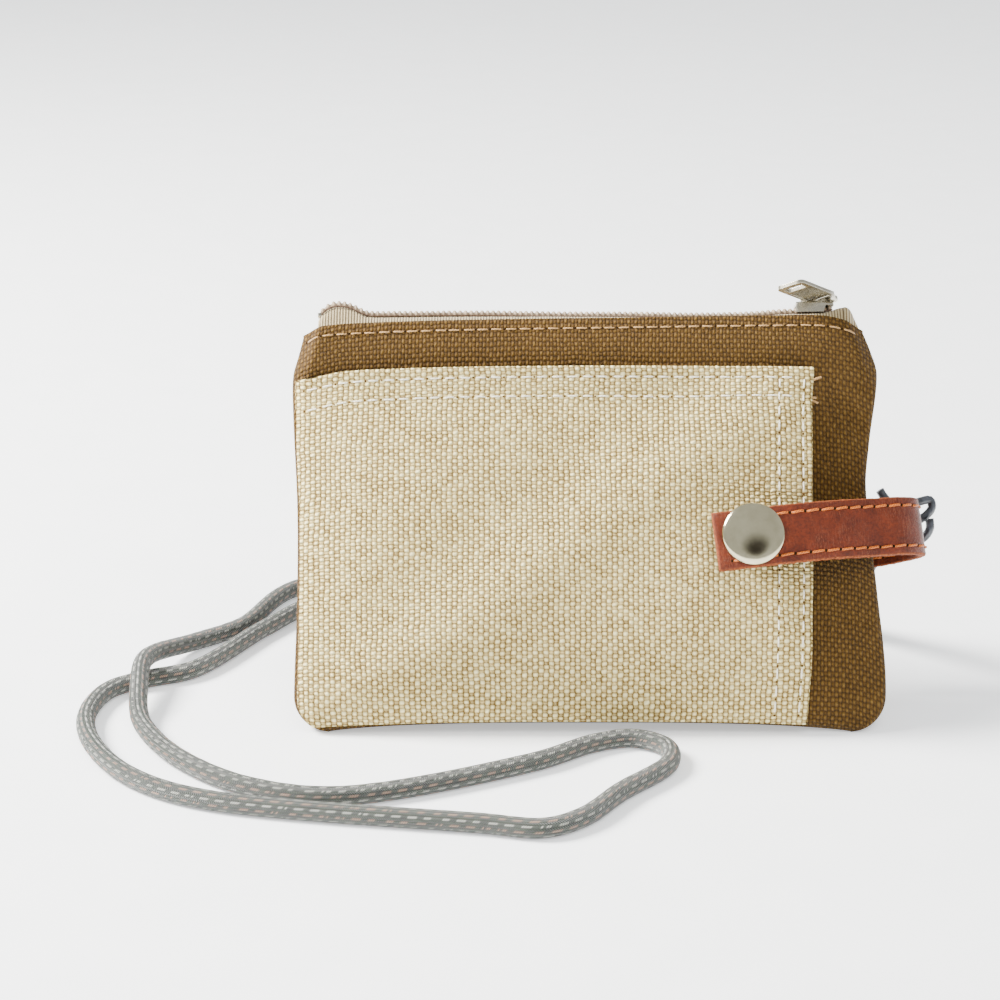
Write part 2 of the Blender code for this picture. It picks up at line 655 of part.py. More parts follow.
def make_strap(pouch, finishes, pocket, pocket_y, back):
    """The strap is planar in its own frame, which is tilted on the pouch's face."""
    frame = empty("strap_frame", (SNAP_X, 0, SNAP_Z), (0, -STRAP_TILT, 0), pouch)
    stud_face = pocket_y - CLEARANCE - BASE_PLATE
    socket_face = stud_face - CLEARANCE - SOCKET
    leather_y = socket_face - CLEARANCE - LEATHER / 2
    hinge = Vector((32.4, -5.6))
    front_route = [(-8.4, leather_y + 0.1), (0, leather_y), (9, leather_y + 0.6), (18, leather_y + 3.0),
                   (26, -8.4), (hinge.x, hinge.y)]
    front_line = [(p.x, p.y) for p in smooth_path([(x, y, 0) for x, y in front_route], 2.6)]
    swing = empty("strap_front_frame", (hinge.x, hinge.y, 0), parent=frame)
    moved = [(x - hinge.x, y - hinge.y) for x, y in front_line]
    strap_front = strap_solid("strap_front", moved, finishes["leather"], swing, True)

    gap = LEATHER / 2 + CLEARANCE
    ahead = (Vector(front_line[-1]) - Vector(front_line[-2])).normalized()
    start = hinge + ahead * gap
    anchor_y = strap_clear_of_back(RIVET_S - 7.6) + 0.1
    back_route = [(start.x, start.y), (36.2, -1.2), (36.6, 2.8), (34.0, 6.9), (28, 10.6), (21, 13.4)]
    back_route += [(RIVET_S + 6, anchor_y - 0.4), (RIVET_S, anchor_y), (RIVET_S - 7.6, anchor_y)]
    back_line = [(p.x, p.y) for p in smooth_path([(x, y, 0) for x, y in back_route], 2.0)]
    strap_back = strap_solid("strap_back", back_line, finishes["leather"], frame, False)

    # The snap: cap and socket travel with the strap, stud and washer stay on the pocket.
    shank = 1.3
    hole = 1.65
    at_snap = (-hinge.x, -hinge.y, 0)
    outer = leather_y - LEATHER / 2 - 0.12
    cap_profile = [(0, outer - 1.75), (2.6, outer - 1.6), (4.8, outer - 1.15), (6.1, outer - 0.6), (6.5, outer - 0.2),
                   (6.3, outer), (shank, outer), (shank, socket_face + 0.6), (0, socket_face + 0.6)]
    lathe("snap_cap", cap_profile, finishes["nickel"], swing, at_snap)
    near = socket_face
    far = socket_face + SOCKET
    bore = 2.75
    socket_profile = [(hole, near), (5.0, near), (5.3, near + 0.4), (5.3, far - 0.4), (5.0, far), (bore, far),
                      (bore, near + 0.8), (hole, near + 0.8)]
    ring_lathe("snap_socket", socket_profile, finishes["nickel"], swing, at_snap)
    through_hole(strap_front, swing, -hinge.x, hole, leather_y - hinge.y - 2, leather_y - hinge.y + 2)

    inner_face = pocket_y + POCKET_CANVAS
    stud_profile = [(0, stud_face - 1.55), (1.5, stud_face - 1.5), (2.0, stud_face - 1.2), (1.8, stud_face - 0.5),
                    (1.9, stud_face), (4.6, stud_face), (4.75, stud_face + BASE_PLATE), (1.0, stud_face + BASE_PLATE),
                    (1.0, inner_face + 0.2), (0, inner_face + 0.2)]
    lathe("snap_stud", stud_profile, finishes["nickel"], frame, (0, 0, 0))
    through_hole(pocket, frame, 0, 1.3, pocket_y - 1, inner_face + 0.8)
    washer_profile = [(1.3, inner_face + 0.35), (3.6, inner_face + 0.35), (3.6, inner_face + 0.8),
                      (1.3, inner_face + 0.8)]
    ring_lathe("snap_stud_washer", washer_profile, finishes["nickel"], frame, (0, 0, 0))

    # The rivet that holds the strap's fixed end to the back panel.
    leather_face = anchor_y + LEATHER / 2 + 0.3
    rivet_spot = locate(SNAP_X + RIVET_S, SNAP_Z + RIVET_S * math.tan(STRAP_TILT))
    panel_inner = back_point(*rivet_spot).y - CANVAS
    rivet_profile = [(0, leather_face + 1.1), (1.8, leather_face + 1.0), (3.4, leather_face + 0.6),
                     (3.9, leather_face + 0.15), (3.8, leather_face), (1.2, leather_face), (1.2, panel_inner - 2.4),
                     (0, panel_inner - 2.4)]
    lathe("strap_rivet", rivet_profile, finishes["nickel"], frame, (RIVET_S, 0, 0))
    washer_profile = [(1.5, panel_inner - 2.2), (3.6, panel_inner - 2.2), (3.6, panel_inner - 1.6),
                      (1.5, panel_inner - 1.6)]
    ring_lathe("strap_rivet_washer", washer_profile, finishes["nickel"], frame, (RIVET_S, 0, 0))
    through_hole(strap_back, frame, RIVET_S, 1.5, anchor_y - 3, anchor_y + 3)
    ring = [(RIVET_S + 1.5 * math.cos(math.tau * k / 20), 1.5 * math.sin(math.tau * k / 20)) for k in range(20)]
    points, faces = loft([[Vector((x, y, z)) for x, z in ring] for y in (panel_inner - 2, anchor_y)])
    combine(back, mesh_object("back_panel_hole_tool", points, faces, None, frame), "DIFFERENCE")
    return frame


# ---- cords ----------------------------------------------------------------------------------------------


def make_cord_tie(pouch, finishes):
    """Thin cord through the leather loop, knotted behind it: a ring, a knot and two cut tips in one solid."""
    radius = 0.95
    knot = Vector((66.2, 14.4, 45.6))
    ring = [(66.0, 13.4, 48.0), (64.6, 11.6, 51.8), (62.6, 8.2, 52.5), (61.2, 5.6, 49.5), (60.6, 4.5, 45.0),
            (60.4, 4.7, 40.0), (60.6, 7.2, 35.1), (61.6, 11.4, 34.1), (63.6, 14.4, 37.4), (65.4, 14.8, 42.5)]
    points, faces = tube(smooth_path(ring, 1.6), radius, 8)
    tie = mesh_object("cord_tie", points, faces, finishes["tie"], pouch)
    bm = bmesh.new()
    bmesh.ops.create_icosphere(bm, subdivisions=3, radius=1.0)
    ball = [v.co.copy() for v in bm.verts]
    triangles = [tuple(v.index for v in f.verts) for f in bm.faces]
    bm.free()
    shaped = [knot + Vector((p.x * 4.2, p.y * 3.0, p.z * 5.0)) for p in ball]
    combine(tie, mesh_object("cord_tie_knot_tool", shaped, triangles, None, pouch), "UNION")
    for number, tip in enumerate((((65.0, 14.0, 48.0), (62.2, 13.4, 52.6)), ((68.0, 13.6, 44.0), (72.6, 11.0, 41.6)))):
        points, faces = tube([Vector(tip[0]), (Vector(tip[0]) + Vector(tip[1])) / 2, Vector(tip[1])], radius, 8)
        combine(tie, mesh_object(f"cord_tie_tip_tool_{number}", points, faces, None, pouch), "UNION")


def cord_object(name, route, diameter, finish):
    """A round cord as a bevelled curve through a smooth route."""
    path = smooth_path(route, 2.75 * diameter)
    curve = bpy.data.curves.new(name, "CURVE")
    curve.dimensions = "3D"
    spline = curve.splines.new("POLY")
    spline.points.add(len(path) - 1)
    for point, place in zip(spline.points, path):
        place.z = max(place.z, diameter / 2)
        point.co = (*(place * MM), 1.0)
    curve.bevel_depth = diameter / 2 * MM
    curve.bevel_resolution = 3
    curve.use_fill_caps = True
    obj = bpy.data.objects.new(name, curve)
    bpy.context.collection.objects.link(obj)
    curve.materials.append(finish)
    return obj


def main():
    clear_scene()
    finishes = {
        "canvas": material("canvas", (0.17, 0.10, 0.035), 0.9),
        "pocket_canvas": material("pocket_canvas", (0.74, 0.65, 0.44), 0.9),
        "binding": material("binding", (0.17, 0.11, 0.05), 0.85),
        "zip_tape": material("zip_tape", (0.42, 0.37, 0.29), 0.85),
        "zip_coil": material("zip_coil", (0.40, 0.34, 0.26), 0.5),
        "nickel": material("nickel", (0.72, 0.70, 0.66), 0.25, 1.0),
        "leather": material("leather", (0.26, 0.075, 0.035), 0.5),
        "tie": material("tie", (0.012, 0.013, 0.016), 0.35),
        "cord": material("cord", (0.26, 0.29, 0.25), 0.7),
    }
    pouch = empty("pouch_frame", (0, SEAM_Y, 0), (-LEAN, 0, 0))
    _, back = make_panels(pouch, finishes)
    pocket, pocket_y = make_card_pocket(pouch, finishes)
    make_bindings(pouch, finishes)
    zip_frame = make_zip_frame(pouch)
    make_zip(zip_frame, finishes)
    make_slider(zip_frame, finishes)
    make_pull_tab(zip_frame, finishes)
    make_strap(pouch, finishes, pocket, pocket_y, back)
    make_cord_tie(pouch, finishes)
    cord_object("neck_cord", CORD_ROUTE, CORD_DIAMETER, finishes["cord"])


main()
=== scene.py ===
"""Looks of the neck pouch wallet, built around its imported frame.

Shapes are worked out in millimetres in the pouch's own frame (X along the zip, Y to the back, Z up the face),
with the same driving dimensions as the frame, and world() leans them back and turns them into metres.
"""

import math
import random

import bmesh
import bpy
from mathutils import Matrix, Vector, noise

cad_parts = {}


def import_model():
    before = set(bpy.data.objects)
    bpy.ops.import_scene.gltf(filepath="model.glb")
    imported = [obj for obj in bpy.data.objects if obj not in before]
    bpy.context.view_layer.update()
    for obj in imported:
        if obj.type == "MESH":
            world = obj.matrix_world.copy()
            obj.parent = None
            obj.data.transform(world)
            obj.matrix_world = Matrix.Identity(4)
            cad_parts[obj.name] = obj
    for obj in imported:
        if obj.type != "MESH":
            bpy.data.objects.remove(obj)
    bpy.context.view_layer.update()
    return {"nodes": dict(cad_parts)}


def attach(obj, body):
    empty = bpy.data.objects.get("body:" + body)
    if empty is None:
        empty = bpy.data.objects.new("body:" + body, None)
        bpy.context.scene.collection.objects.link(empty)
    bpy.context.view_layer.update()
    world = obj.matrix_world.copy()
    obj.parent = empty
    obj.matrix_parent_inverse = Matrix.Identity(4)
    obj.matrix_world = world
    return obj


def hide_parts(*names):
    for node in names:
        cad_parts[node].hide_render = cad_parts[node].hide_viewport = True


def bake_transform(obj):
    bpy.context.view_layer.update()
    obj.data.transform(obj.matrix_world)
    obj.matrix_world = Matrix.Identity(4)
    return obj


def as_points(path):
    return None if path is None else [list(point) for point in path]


MM = 0.001
LEAN = math.radians(27.0)
SEAM_Y = -10.0

# The canvas body, as in the frame.
CANVAS = 1.2
EDGE_Y = 1.4
LEFT_SIDE = [
    (0, -62.4), (8, -62.7), (28, -62.3), (48, -62.5), (68, -63.6), (77, -63.7), (82, -62.5), (90, -60.6),
]
RIGHT_SIDE = [(0, 62.4), (13, 62.8), (30, 61.4), (52, 59.5), (62, 60.4), (77, 62.4), (83, 61.0), (91, 57.8)]
TOP_EDGE = [
    (0, 85.7), (0.04, 87.0), (0.12, 87.6), (0.3, 88.2), (0.5, 88.6), (0.86, 89.2), (0.94, 89.0), (1, 86.8),
]
PANEL_WIDTH = 124.0
PANEL_HEIGHT = 88.0
MEAN_WIDTH = 123.0
BOTTOM_ARCH = 2.0
BOTTOM_CORNER = 7.5
FRONT_SWELL = [(0, 0), (0.05, 3.0), (0.12, 5.2), (0.25, 6.9), (0.45, 7.4), (0.7, 5.8), (0.9, 2.2), (1, 0)]
BACK_SWELL = [
    (0, 0), (0.02, 7.2), (0.05, 12.8), (0.09, 15.8), (0.15, 17.0), (0.25, 16.8), (0.4, 14.6), (0.6, 10.2),
    (0.8, 5.0), (1, 0),
]
MOUTH_HALF_WIDTH = 3.8
MOUTH_END = 4.0
SEAM_ROUND = 1.3

# The card pocket.
POCKET_CANVAS = 1.0
POCKET_RIGHT = 47.0
POCKET_WIDTH = 108.0
POCKET_HEIGHT = 76.0
POCKET_TOP = [(-64, 74.8), (-60, 75.5), (-52, 76.8), (-40, 77.2), (-20, 77.5), (10, 77.7), (60, 77.7)]
POCKET_EDGE_GAP = 0.45
POCKET_FULL_GAP = 1.5
SEWN_BORDER = 1.2
HEM_ROWS = (2.5, 7.2)
SIDE_ROWS = (2.1, 7.2)

# Threads and weave.
COLUMN = 1.113
ROW = 0.755
BROWN_COLUMN = 0.757
BROWN_ROW = 1.06
STITCH_PITCH = 3.0
STITCH_LENGTH = 2.35
POCKET_STITCHES = {"lift": 0.1, "pitch": 3.25, "size": 2.3}
ROW_LEFT = -61.5
ROW_LOW = 3.6
THREAD = 0.36
SUNK = 0.32
LOOSE_ENDS = (((46.6, 74.0), (49.6, 75.6)), ((46.6, 70.2), (48.8, 69.7)), ((46.6, 70.4), (48.4, 70.9)))
FOLD_ROW = 1.9

# The zip.
TAPE_Z = 89.9
CHAIN_RISE = -0.45
CHAIN_SLOPE = math.radians(0.3)
TAPE = 0.5
RIB_PITCH = 0.62
RIB_PICK = 0.45
# How far the chain rides off its straight line: up at both ends, and a little down between them.
CHAIN_BUMP = [
    (-58.6, -1.2), (-57.2, 0.9), (-55.2, 2.1), (-53.2, 2.2), (-51.2, 1.75), (-49.2, 0.75), (-47.5, 0.1),
    (-43.0, 0.0), (-23, 0.0), (-6, -0.3), (12, -0.45), (23, -0.7), (35, -0.5), (42, 0.0), (46, 0.1), (49.5, 0.25),
    (52.6, 0.9), (54.6, 1.5), (56.2, 1.3), (57.2, 0.2), (58.4, -2.4),
]
CHAIN_RIGHT = 54.4
COIL_LEFT = -57.6
COIL_PITCH = 1.19
COIL_LOOP = (
    (0.5, 1.08, 0.0), (0.62, 1.3, 0.06), (1.1, 1.4, 0.14), (1.6, 1.24, 0.26), (1.72, 0.8, 0.4), (1.55, 0.44, 0.5),
    (1.1, 0.34, 0.56), (0.66, 0.44, 0.6),
)
COIL_HEIGHT = 1.6
COIL_Z = TAPE_Z + TAPE / 2 + 0.1 + COIL_HEIGHT / 2
SLIDER_X = 49.0
SLIDER_LENGTH = 8.2
SLIDER_HALF_WIDTH = 3.3
PLATE = 0.7
TOP_PLATE_Z = COIL_Z + COIL_HEIGHT / 2 + 0.3 + PLATE / 2
TAB_PIVOT_X = SLIDER_X + 3.25
TAB_LENGTH = 17.5
TAB_HALF_WIDTH = 3.2
TAB_PLATE = 0.8
TAB_HEADING = math.radians(-35.4)
TAB_ROLL = math.radians(-8.5)
TAB_RAISE = 0.3
TAB_Z = TOP_PLATE_Z + PLATE / 2 + 0.3 + TAB_PLATE / 2

# The leather strap and its snap.
STRAP_TILT = math.radians(7.0)
STRAP_WIDTH = 12.4
LEATHER = 1.9
GROOVE = 4.35
STRAP_STEP = 0.45
LATHE_SIDES = 96
SNAP_X = 34.1
SNAP_Z = 39.3
SNAP_FLAT = 5.6
SNAP_SHIFT = (-0.4, 0.7)
BASE_PLATE = 0.8
SOCKET = 2.4
RIVET_S = 8.4
LEATHER_PITCH = 3.3

# The neck cord.
CORD_DIAMETER = 4.0
CORD_SIDES = 40
CORD_ROUTE = [
    (64.0, 27.5, 33.4), (63.6, 32.4, 29.8), (58.5, 49.5, 8.0), (46, 64, 2), (8, 83, 2), (-35, 88, 2), (-68, 74, 2),
    (-79, 48, 2), (-88.5, 37.0, 2.4), (-96, 22.5, 5.2), (-97.4, 13.5, 6.4), (-97, 4, 5.2), (-95, -9, 2.2),
    (-85, -28, 2), (-69, -42.5, 2), (-51, -47, 2), (-12.5, -30.5, 2), (0.8, -20.4, 2), (8.8, -18.0, 2),
    (15.2, -22.4, 2), (15.4, -31.0, 2), (5, -45, 2), (-3, -57, 2), (-10.5, -61.8, 2), (-23, -59.6, 2),
    (-77.5, -48.5, 2), (-93, -38, 2), (-103.5, -21, 2), (-107, -5, 2), (-104, 9, 2), (-97, 15, 2), (-87.5, 20.5, 2),
    (-73, 47.5, 2), (-62, 63, 2), (-20, 73, 2), (30, 63.5, 2), (53, 53, 2), (60, 44.5, 8.5), (63.2, 33.0, 22.5),
    (67.4, 27.0, 30.0),
]
BRAID_PICK = 0.46
BRAID_WALES = 11

# The thin tie behind the strap.
TIE_DIAMETER = 1.9
TIE_ROUTE = [
    (64.4, 13.4, 54.0), (65.2, 13.8, 52.8), (66.8, 14.6, 51.0), (68.4, 16.4, 49.0), (69.4, 19.4, 46.4),
    (67.4, 21.6, 43.6), (63.4, 21.4, 43.2), (60.8, 18.8, 45.2), (62.0, 16.2, 48.4), (65.8, 15.0, 50.0),
    (69.6, 13.6, 50.3), (73.2, 12.8, 51.4), (75.3, 12.9, 51.7), (75.7, 13.3, 50.0), (73.6, 13.7, 47.8),
    (70.4, 14.2, 47.0), (67.0, 14.6, 47.6), (63.0, 15.4, 49.0), (60.0, 14.6, 50.0), (58.2, 11.4, 50.9),
    (57.2, 8.8, 48.6), (57.0, 8.4, 43.0), (57.0, 8.6, 38.0), (57.4, 9.6, 34.7), (58.8, 13.0, 33.6),
    (61.6, 16.0, 35.8), (64.8, 17.0, 40.0), (68.8, 16.0, 41.6), (72.0, 14.2, 42.6), (74.0, 12.8, 43.6),
    (75.0, 12.0, 45.4), (74.9, 11.8, 47.4),
]

# Curves, shader inputs and the way towards the person who stands before the pouch.
PATH_STEPS = 24
SHADER_INPUTS = {
    "metallic": "Metallic", "sheen": "Sheen Weight", "coat": "Coat Weight", "coat_roughness": "Coat Roughness",
    "specular": "Specular IOR Level", "glow": "Emission Color", "glow_strength": "Emission Strength",
}
PERSON_AT = (0.13, -0.92, 0.37)


# ---- curves and places ----------------------------------------------------------------------------------


def hermite(a, b, leave, arrive, s):
    """The cubic from a to b, with the given slopes at its two ends."""
    return (
        a * (2 * s**3 - 3 * s**2 + 1)
        + leave * (s**3 - 2 * s**2 + s)
        + b * (3 * s**2 - 2 * s**3)
        + arrive * (s**3 - s**2)
    )


def interpolate(knots, t):
    """Catmull-Rom value at t of a smooth line through (position, value) knots."""
    if t <= knots[0][0]:
        return knots[0][1]
    if t >= knots[-1][0]:
        return knots[-1][1]
    i = max(k for k in range(len(knots) - 1) if knots[k][0] <= t)
    (x1, y1), (x2, y2) = knots[i], knots[i + 1]
    x0, y0 = knots[i - 1] if i > 0 else (2 * x1 - x2, 2 * y1 - y2)
    x3, y3 = knots[i + 2] if i + 2 < len(knots) else (2 * x2 - x1, 2 * y2 - y1)
    leave = (y2 - y0) / (x2 - x0) * (x2 - x1)
    arrive = (y3 - y1) / (x3 - x1) * (x2 - x1)
    return hermite(y1, y2, leave, arrive, (t - x1) / (x2 - x1))


def ease(t):
    """Smooth step from 0 to 1."""
    t = min(max(t, 0.0), 1.0)
    return t * t * (3 - 2 * t)


def smooth_path(points, spacing):
    """Centripetal Catmull-Rom curve through the points, as evenly spaced points."""
    points = [Vector(p) for p in points]
    ends = [2 * points[0] - points[1]] + points + [2 * points[-1] - points[-2]]
    dense = []
    for p0, p1, p2, p3 in zip(ends, ends[1:], ends[2:], ends[3:]):
        k0, k1, k2 = (math.sqrt((b - a).length) for a, b in ((p0, p1), (p1, p2), (p2, p3)))
        leave = ((p1 - p0) / k0 - (p2 - p0) / (k0 + k1) + (p2 - p1) / k1) * k1
        arrive = ((p2 - p1) / k1 - (p3 - p1) / (k1 + k2) + (p3 - p2) / k2) * k1
        dense += [hermite(p1, p2, leave, arrive, step / PATH_STEPS) for step in range(PATH_STEPS)]
    dense.append(points[-1])
    return resample(dense, spacing)


def resample(line, spacing):
    """The same line with points an even distance apart."""
    total = sum((b - a).length for a, b in zip(line, line[1:]))
    count = max(2, round(total / spacing))
    step = total / count
    result = [line[0].copy()]
    travelled = 0.0
    for a, b in zip(line, line[1:]):
        length = (b - a).length
        while len(result) < count and travelled + length >= step * len(result):
            result.append(a.lerp(b, (step * len(result) - travelled) / length))
        travelled += length
    result.append(line[-1].copy())
    return result


def turned(a, b, angle):
    """The pair (a, b) turned by an angle in its own plane."""
    cos, sin = math.cos(angle), math.sin(angle)
    return a * cos - b * sin, a * sin + b * cos


def world(p):
    """World place in metres of a point of the pouch's frame in millimetres."""
    y, z = turned(p[1], p[2], -LEAN)
    return Vector((p[0], SEAM_Y + y, z)) * MM


def on_chain(p):
    """A point of the zip's straight frame, which climbs a little towards its closed end."""
    x, z = turned(p[0], p[2] - TAPE_Z, CHAIN_SLOPE)
    return Vector((x, p[1], TAPE_Z + CHAIN_RISE + z))


def on_strap(p):
    """A point of the strap's frame (along, out to the back, across) in the pouch's frame."""
    x, z = turned(p[0], p[2], STRAP_TILT)
    return Vector((SNAP_X + x, p[1], SNAP_Z + z))


def wobble(x, z, size, seed=0.0):
    """Smooth noise from about -1 to 1 with features of the given size."""
    return noise.noise(Vector((x / size + seed, z / size - seed, seed * 1.7)))


# ---- meshes ---------------------------------------------------------------------------------------------


def mesh_piece(name, points, faces, finish, body, attributes=None, place=world, smooth=True):
    """A mesh piece that rides on a body; attributes are named lists of one vector for each point."""
    mesh = bpy.data.meshes.new(name)
    mesh.from_pydata([place(p) for p in points], [], faces)
    mesh.update()
    for key, values in (attributes or {}).items():
        layer = mesh.attributes.new(key, "FLOAT_VECTOR", "POINT")
        layer.data.foreach_set("vector", [c for value in values for c in value])
    if smooth:
        mesh.shade_smooth()
    mesh.materials.append(finish)
    obj = bpy.data.objects.new(name, mesh)
    bpy.context.collection.objects.link(obj)
    if body:
        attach(obj, body)
    return obj


def metres(p):
    return Vector(p) * MM


def grid_faces(rows, columns, offset=0, flip=False, wrap=False):
    """Quads between rows of points, each row closed on itself where wrap is set."""
    faces = []
    for i in range(rows - 1):
        for j in range(columns if wrap else columns - 1):
            k = (j + 1) % columns
            quad = (
                offset + i * columns + j, offset + i * columns + k,
                offset + (i + 1) * columns + k, offset + (i + 1) * columns + j,
            )
            faces.append(quad[::-1] if flip else quad)
    return faces


def sheet_faces(rows, columns, flip=False):
    """Faces of a closed sheet: a grid on its outer side, the same again on its inner side, and the rim."""
    offset = rows * columns
    faces = grid_faces(rows, columns, flip=flip) + grid_faces(rows, columns, offset, flip=not flip)
    rim = list(range(columns)) + [i * columns + columns - 1 for i in range(1, rows)]
    rim += [(rows - 1) * columns + j for j in range(columns - 2, -1, -1)]
    rim += [i * columns for i in range(rows - 2, 0, -1)]
    return faces + [(b, a, offset + a, offset + b) for a, b in zip(rim, rim[1:] + rim[:1])]


def tube_mesh(path, radius, sides, start=0):
    """Points, faces and (along, around) of a round tube with closed ends."""
    points, marks = [], []
    side = Vector((0.13, 0.21, 0.97)).normalized()
    travelled = 0.0
    for i, p in enumerate(path):
        ahead = (path[min(i + 1, len(path) - 1)] - path[max(i - 1, 0)]).normalized()
        side = (side - ahead * side.dot(ahead)).normalized()
        across = ahead.cross(side)
        if i:
            travelled += (p - path[i - 1]).length
        for k in range(sides):
            a = math.tau * k / sides
            points.append(p + radius * (math.cos(a) * side + math.sin(a) * across))
            marks.append((travelled, k / sides, 0.0))
    last = start + (len(path) - 1) * sides
    faces = grid_faces(len(path), sides, start, wrap=True)
    faces.append(tuple(start + k for k in reversed(range(sides))))
    faces.append(tuple(last + k for k in range(sides)))
    return points, faces, marks


class Batch:
    """Many small closed shapes gathered into one mesh."""

    def __init__(self):
        self.points = []
        self.faces = []
        self.marks = []

    def tube(self, path, radius, sides):
        points, faces, marks = tube_mesh(path, radius, sides, len(self.points))
        self.points += points
        self.faces += faces
        self.marks += marks

    def piece(self, name, finish, body):
        return mesh_piece(name, self.points, self.faces, finish, body, {"thread": self.marks})


def lathe_piece(name, profile, finish, body, centre, closed=False):
    """Piece turned about a line through the strap at the centre (along, across), from (radius, y) points."""
    points = []
    for radius, y in profile:
        for k in range(LATHE_SIDES):
            a = math.tau * k / LATHE_SIDES
            points.append(on_strap((centre[0] + radius * math.cos(a), y, centre[1] + radius * math.sin(a))))
    faces = grid_faces(len(profile), LATHE_SIDES, wrap=True)
    if closed:
        last = (len(profile) - 1) * LATHE_SIDES
        for k in range(LATHE_SIDES):
            n = (k + 1) % LATHE_SIDES
            faces.append((last + k, last + n, n, k))
    obj = mesh_piece(name, points, faces, finish, body)
    obj.data.set_sharp_from_angle(angle=math.radians(40))
    return obj


def bevelled(obj, width, segments, angle):
    """Rounds the edges that are sharper than an angle in degrees, and shades the piece smoothly."""
    modifier = obj.modifiers.new("rounding", "BEVEL")
    modifier.width = width * MM
    modifier.segments = segments
    modifier.limit_method = "ANGLE"
    modifier.angle_limit = math.radians(angle)
    obj.data.shade_smooth()
    obj.data.set_sharp_from_angle(angle=math.radians(35))


def combine(obj, tool, operation):
    """Joins a closed tool onto a piece or cuts it out, and takes the tool away."""
    modifier = obj.modifiers.new("combine", "BOOLEAN")
    modifier.operation = operation
    modifier.object = tool
    graph = bpy.context.evaluated_depsgraph_get()
    mesh = bpy.data.meshes.new_from_object(obj.evaluated_get(graph))
    obj.modifiers.clear()
    obj.data = mesh
    bpy.data.objects.remove(tool)


def arc(cx, cy, radius, start, end, count):
    """Points along an arc between two angles in degrees."""
    angles = [math.radians(start + (end - start) * k / count) for k in range(count + 1)]
    return [(cx + radius * math.cos(a), cy + radius * math.sin(a)) for a in angles]


def loft_piece(name, sections, finish, body, place=world):
    """Closed solid through sections of equally many points."""
    count = len(sections[0])
    points = [p for section in sections for p in section]
    faces = [tuple(reversed(range(count))), tuple(range(len(points) - count, len(points)))]
    faces += grid_faces(len(sections), count, wrap=True)
    obj = mesh_piece(name, points, faces, finish, body, place=place, smooth=False)
    bpy.context.view_layer.update()
    return outward(obj)


def outward(obj):
    """Turns a closed mesh's faces outwards."""
    bm = bmesh.new()
    bm.from_mesh(obj.data)
    bmesh.ops.recalc_face_normals(bm, faces=bm.faces)
    bm.to_mesh(obj.data)
    bm.free()
    return obj


# ---- materials ------------------------------------------------------------------------------------------


def linear(r, g, b):
    """Scene-linear colour of an sRGB colour from 0 to 255."""
    shares = (c / 255 for c in (r, g, b))
    return (*(s / 12.92 if s <= 0.04045 else ((s + 0.055) / 1.055) ** 2.4 for s in shares), 1.0)


class Value:
    """A number that shader nodes work out; arithmetic with it adds nodes."""

    def __init__(self, nodes, socket):
        self.nodes = nodes
        self.socket = socket

    def math(self, operation, *others):
        return self.nodes.math(operation, self, *others)

    def __add__(self, other):
        return self.math("ADD", other)

    def __sub__(self, other):
        return self.math("SUBTRACT", other)

    def __mul__(self, other):
        return self.math("MULTIPLY", other)

    def __truediv__(self, other):
        return self.math("DIVIDE", other)

    def __mod__(self, other):
        return self.math("FLOORED_MODULO", other)

    def __pow__(self, other):
        return self.math("POWER", other)

    def __lt__(self, other):
        return self.math("LESS_THAN", other)

    def __gt__(self, other):
        return self.math("GREATER_THAN", other)

    def __abs__(self):
        return self.math("ABSOLUTE")

    def floor(self):
        return self.math("FLOOR")

    def wave(self, shape="SINE"):
        """Sine or cosine with a half period of 1."""
        return (self * math.pi).math(shape)


class Nodes:
    """A node tree, with short names for the nodes that are put in it."""

    def __init__(self, tree):
        self.tree = tree

    def put(self, value, socket):
        if isinstance(value, Value):
            value = value.socket
        if isinstance(value, bpy.types.NodeSocket):
            self.tree.links.new(value, socket)
        else:
            socket.default_value = value

    def node(self, kind, values, **settings):
        """A node with its first inputs set, in their order, or those named in a dict."""
        made = self.tree.nodes.new("ShaderNode" + kind)
        for key, value in settings.items():
            setattr(made, key, value)
        for key, value in values.items() if isinstance(values, dict) else enumerate(values):
            self.put(value, made.inputs[key])
        return made.outputs

    def math(self, operation, *values):
        return Value(self, self.node("Math", values, operation=operation)[0])

    def attribute(self, name):
        """The three components of a vector attribute."""
        vector = self.node("Attribute", (), attribute_name=name)["Vector"]
        return [Value(self, part) for part in self.node("SeparateXYZ", (vector,))]

    def place(self):
        """The point on the object, in metres."""
        return self.node("TexCoord", ())["Object"]

    def vector(self, x=0.0, y=0.0, z=0.0):
        return self.node("CombineXYZ", (x, y, z))[0]

    def noise(self, vector, scale, detail=2.0, roughness=0.5):
        values = {"Vector": vector, "Scale": scale, "Detail": detail, "Roughness": roughness}
        return Value(self, self.node("TexNoise", values)[0])

    def random(self, *place):
        values = {"Vector": self.vector(*place)}
        return Value(self, self.node("TexWhiteNoise", values, noise_dimensions="3D")["Value"])

    def cells(self, vector, scale):
        return Value(self, self.node("TexVoronoi", {"Vector": vector, "Scale": scale})["Distance"])

    def mix(self, share, a, b):
        return self.node("Mix", {0: share, 6: a, 7: b}, data_type="RGBA")[2]

    def span(self, value, low, high, to_low=0.0, to_high=1.0):
        """The value moved from one range to another, and kept inside it."""
        return Value(self, self.node("MapRange", (value, low, high, to_low, to_high))[0])


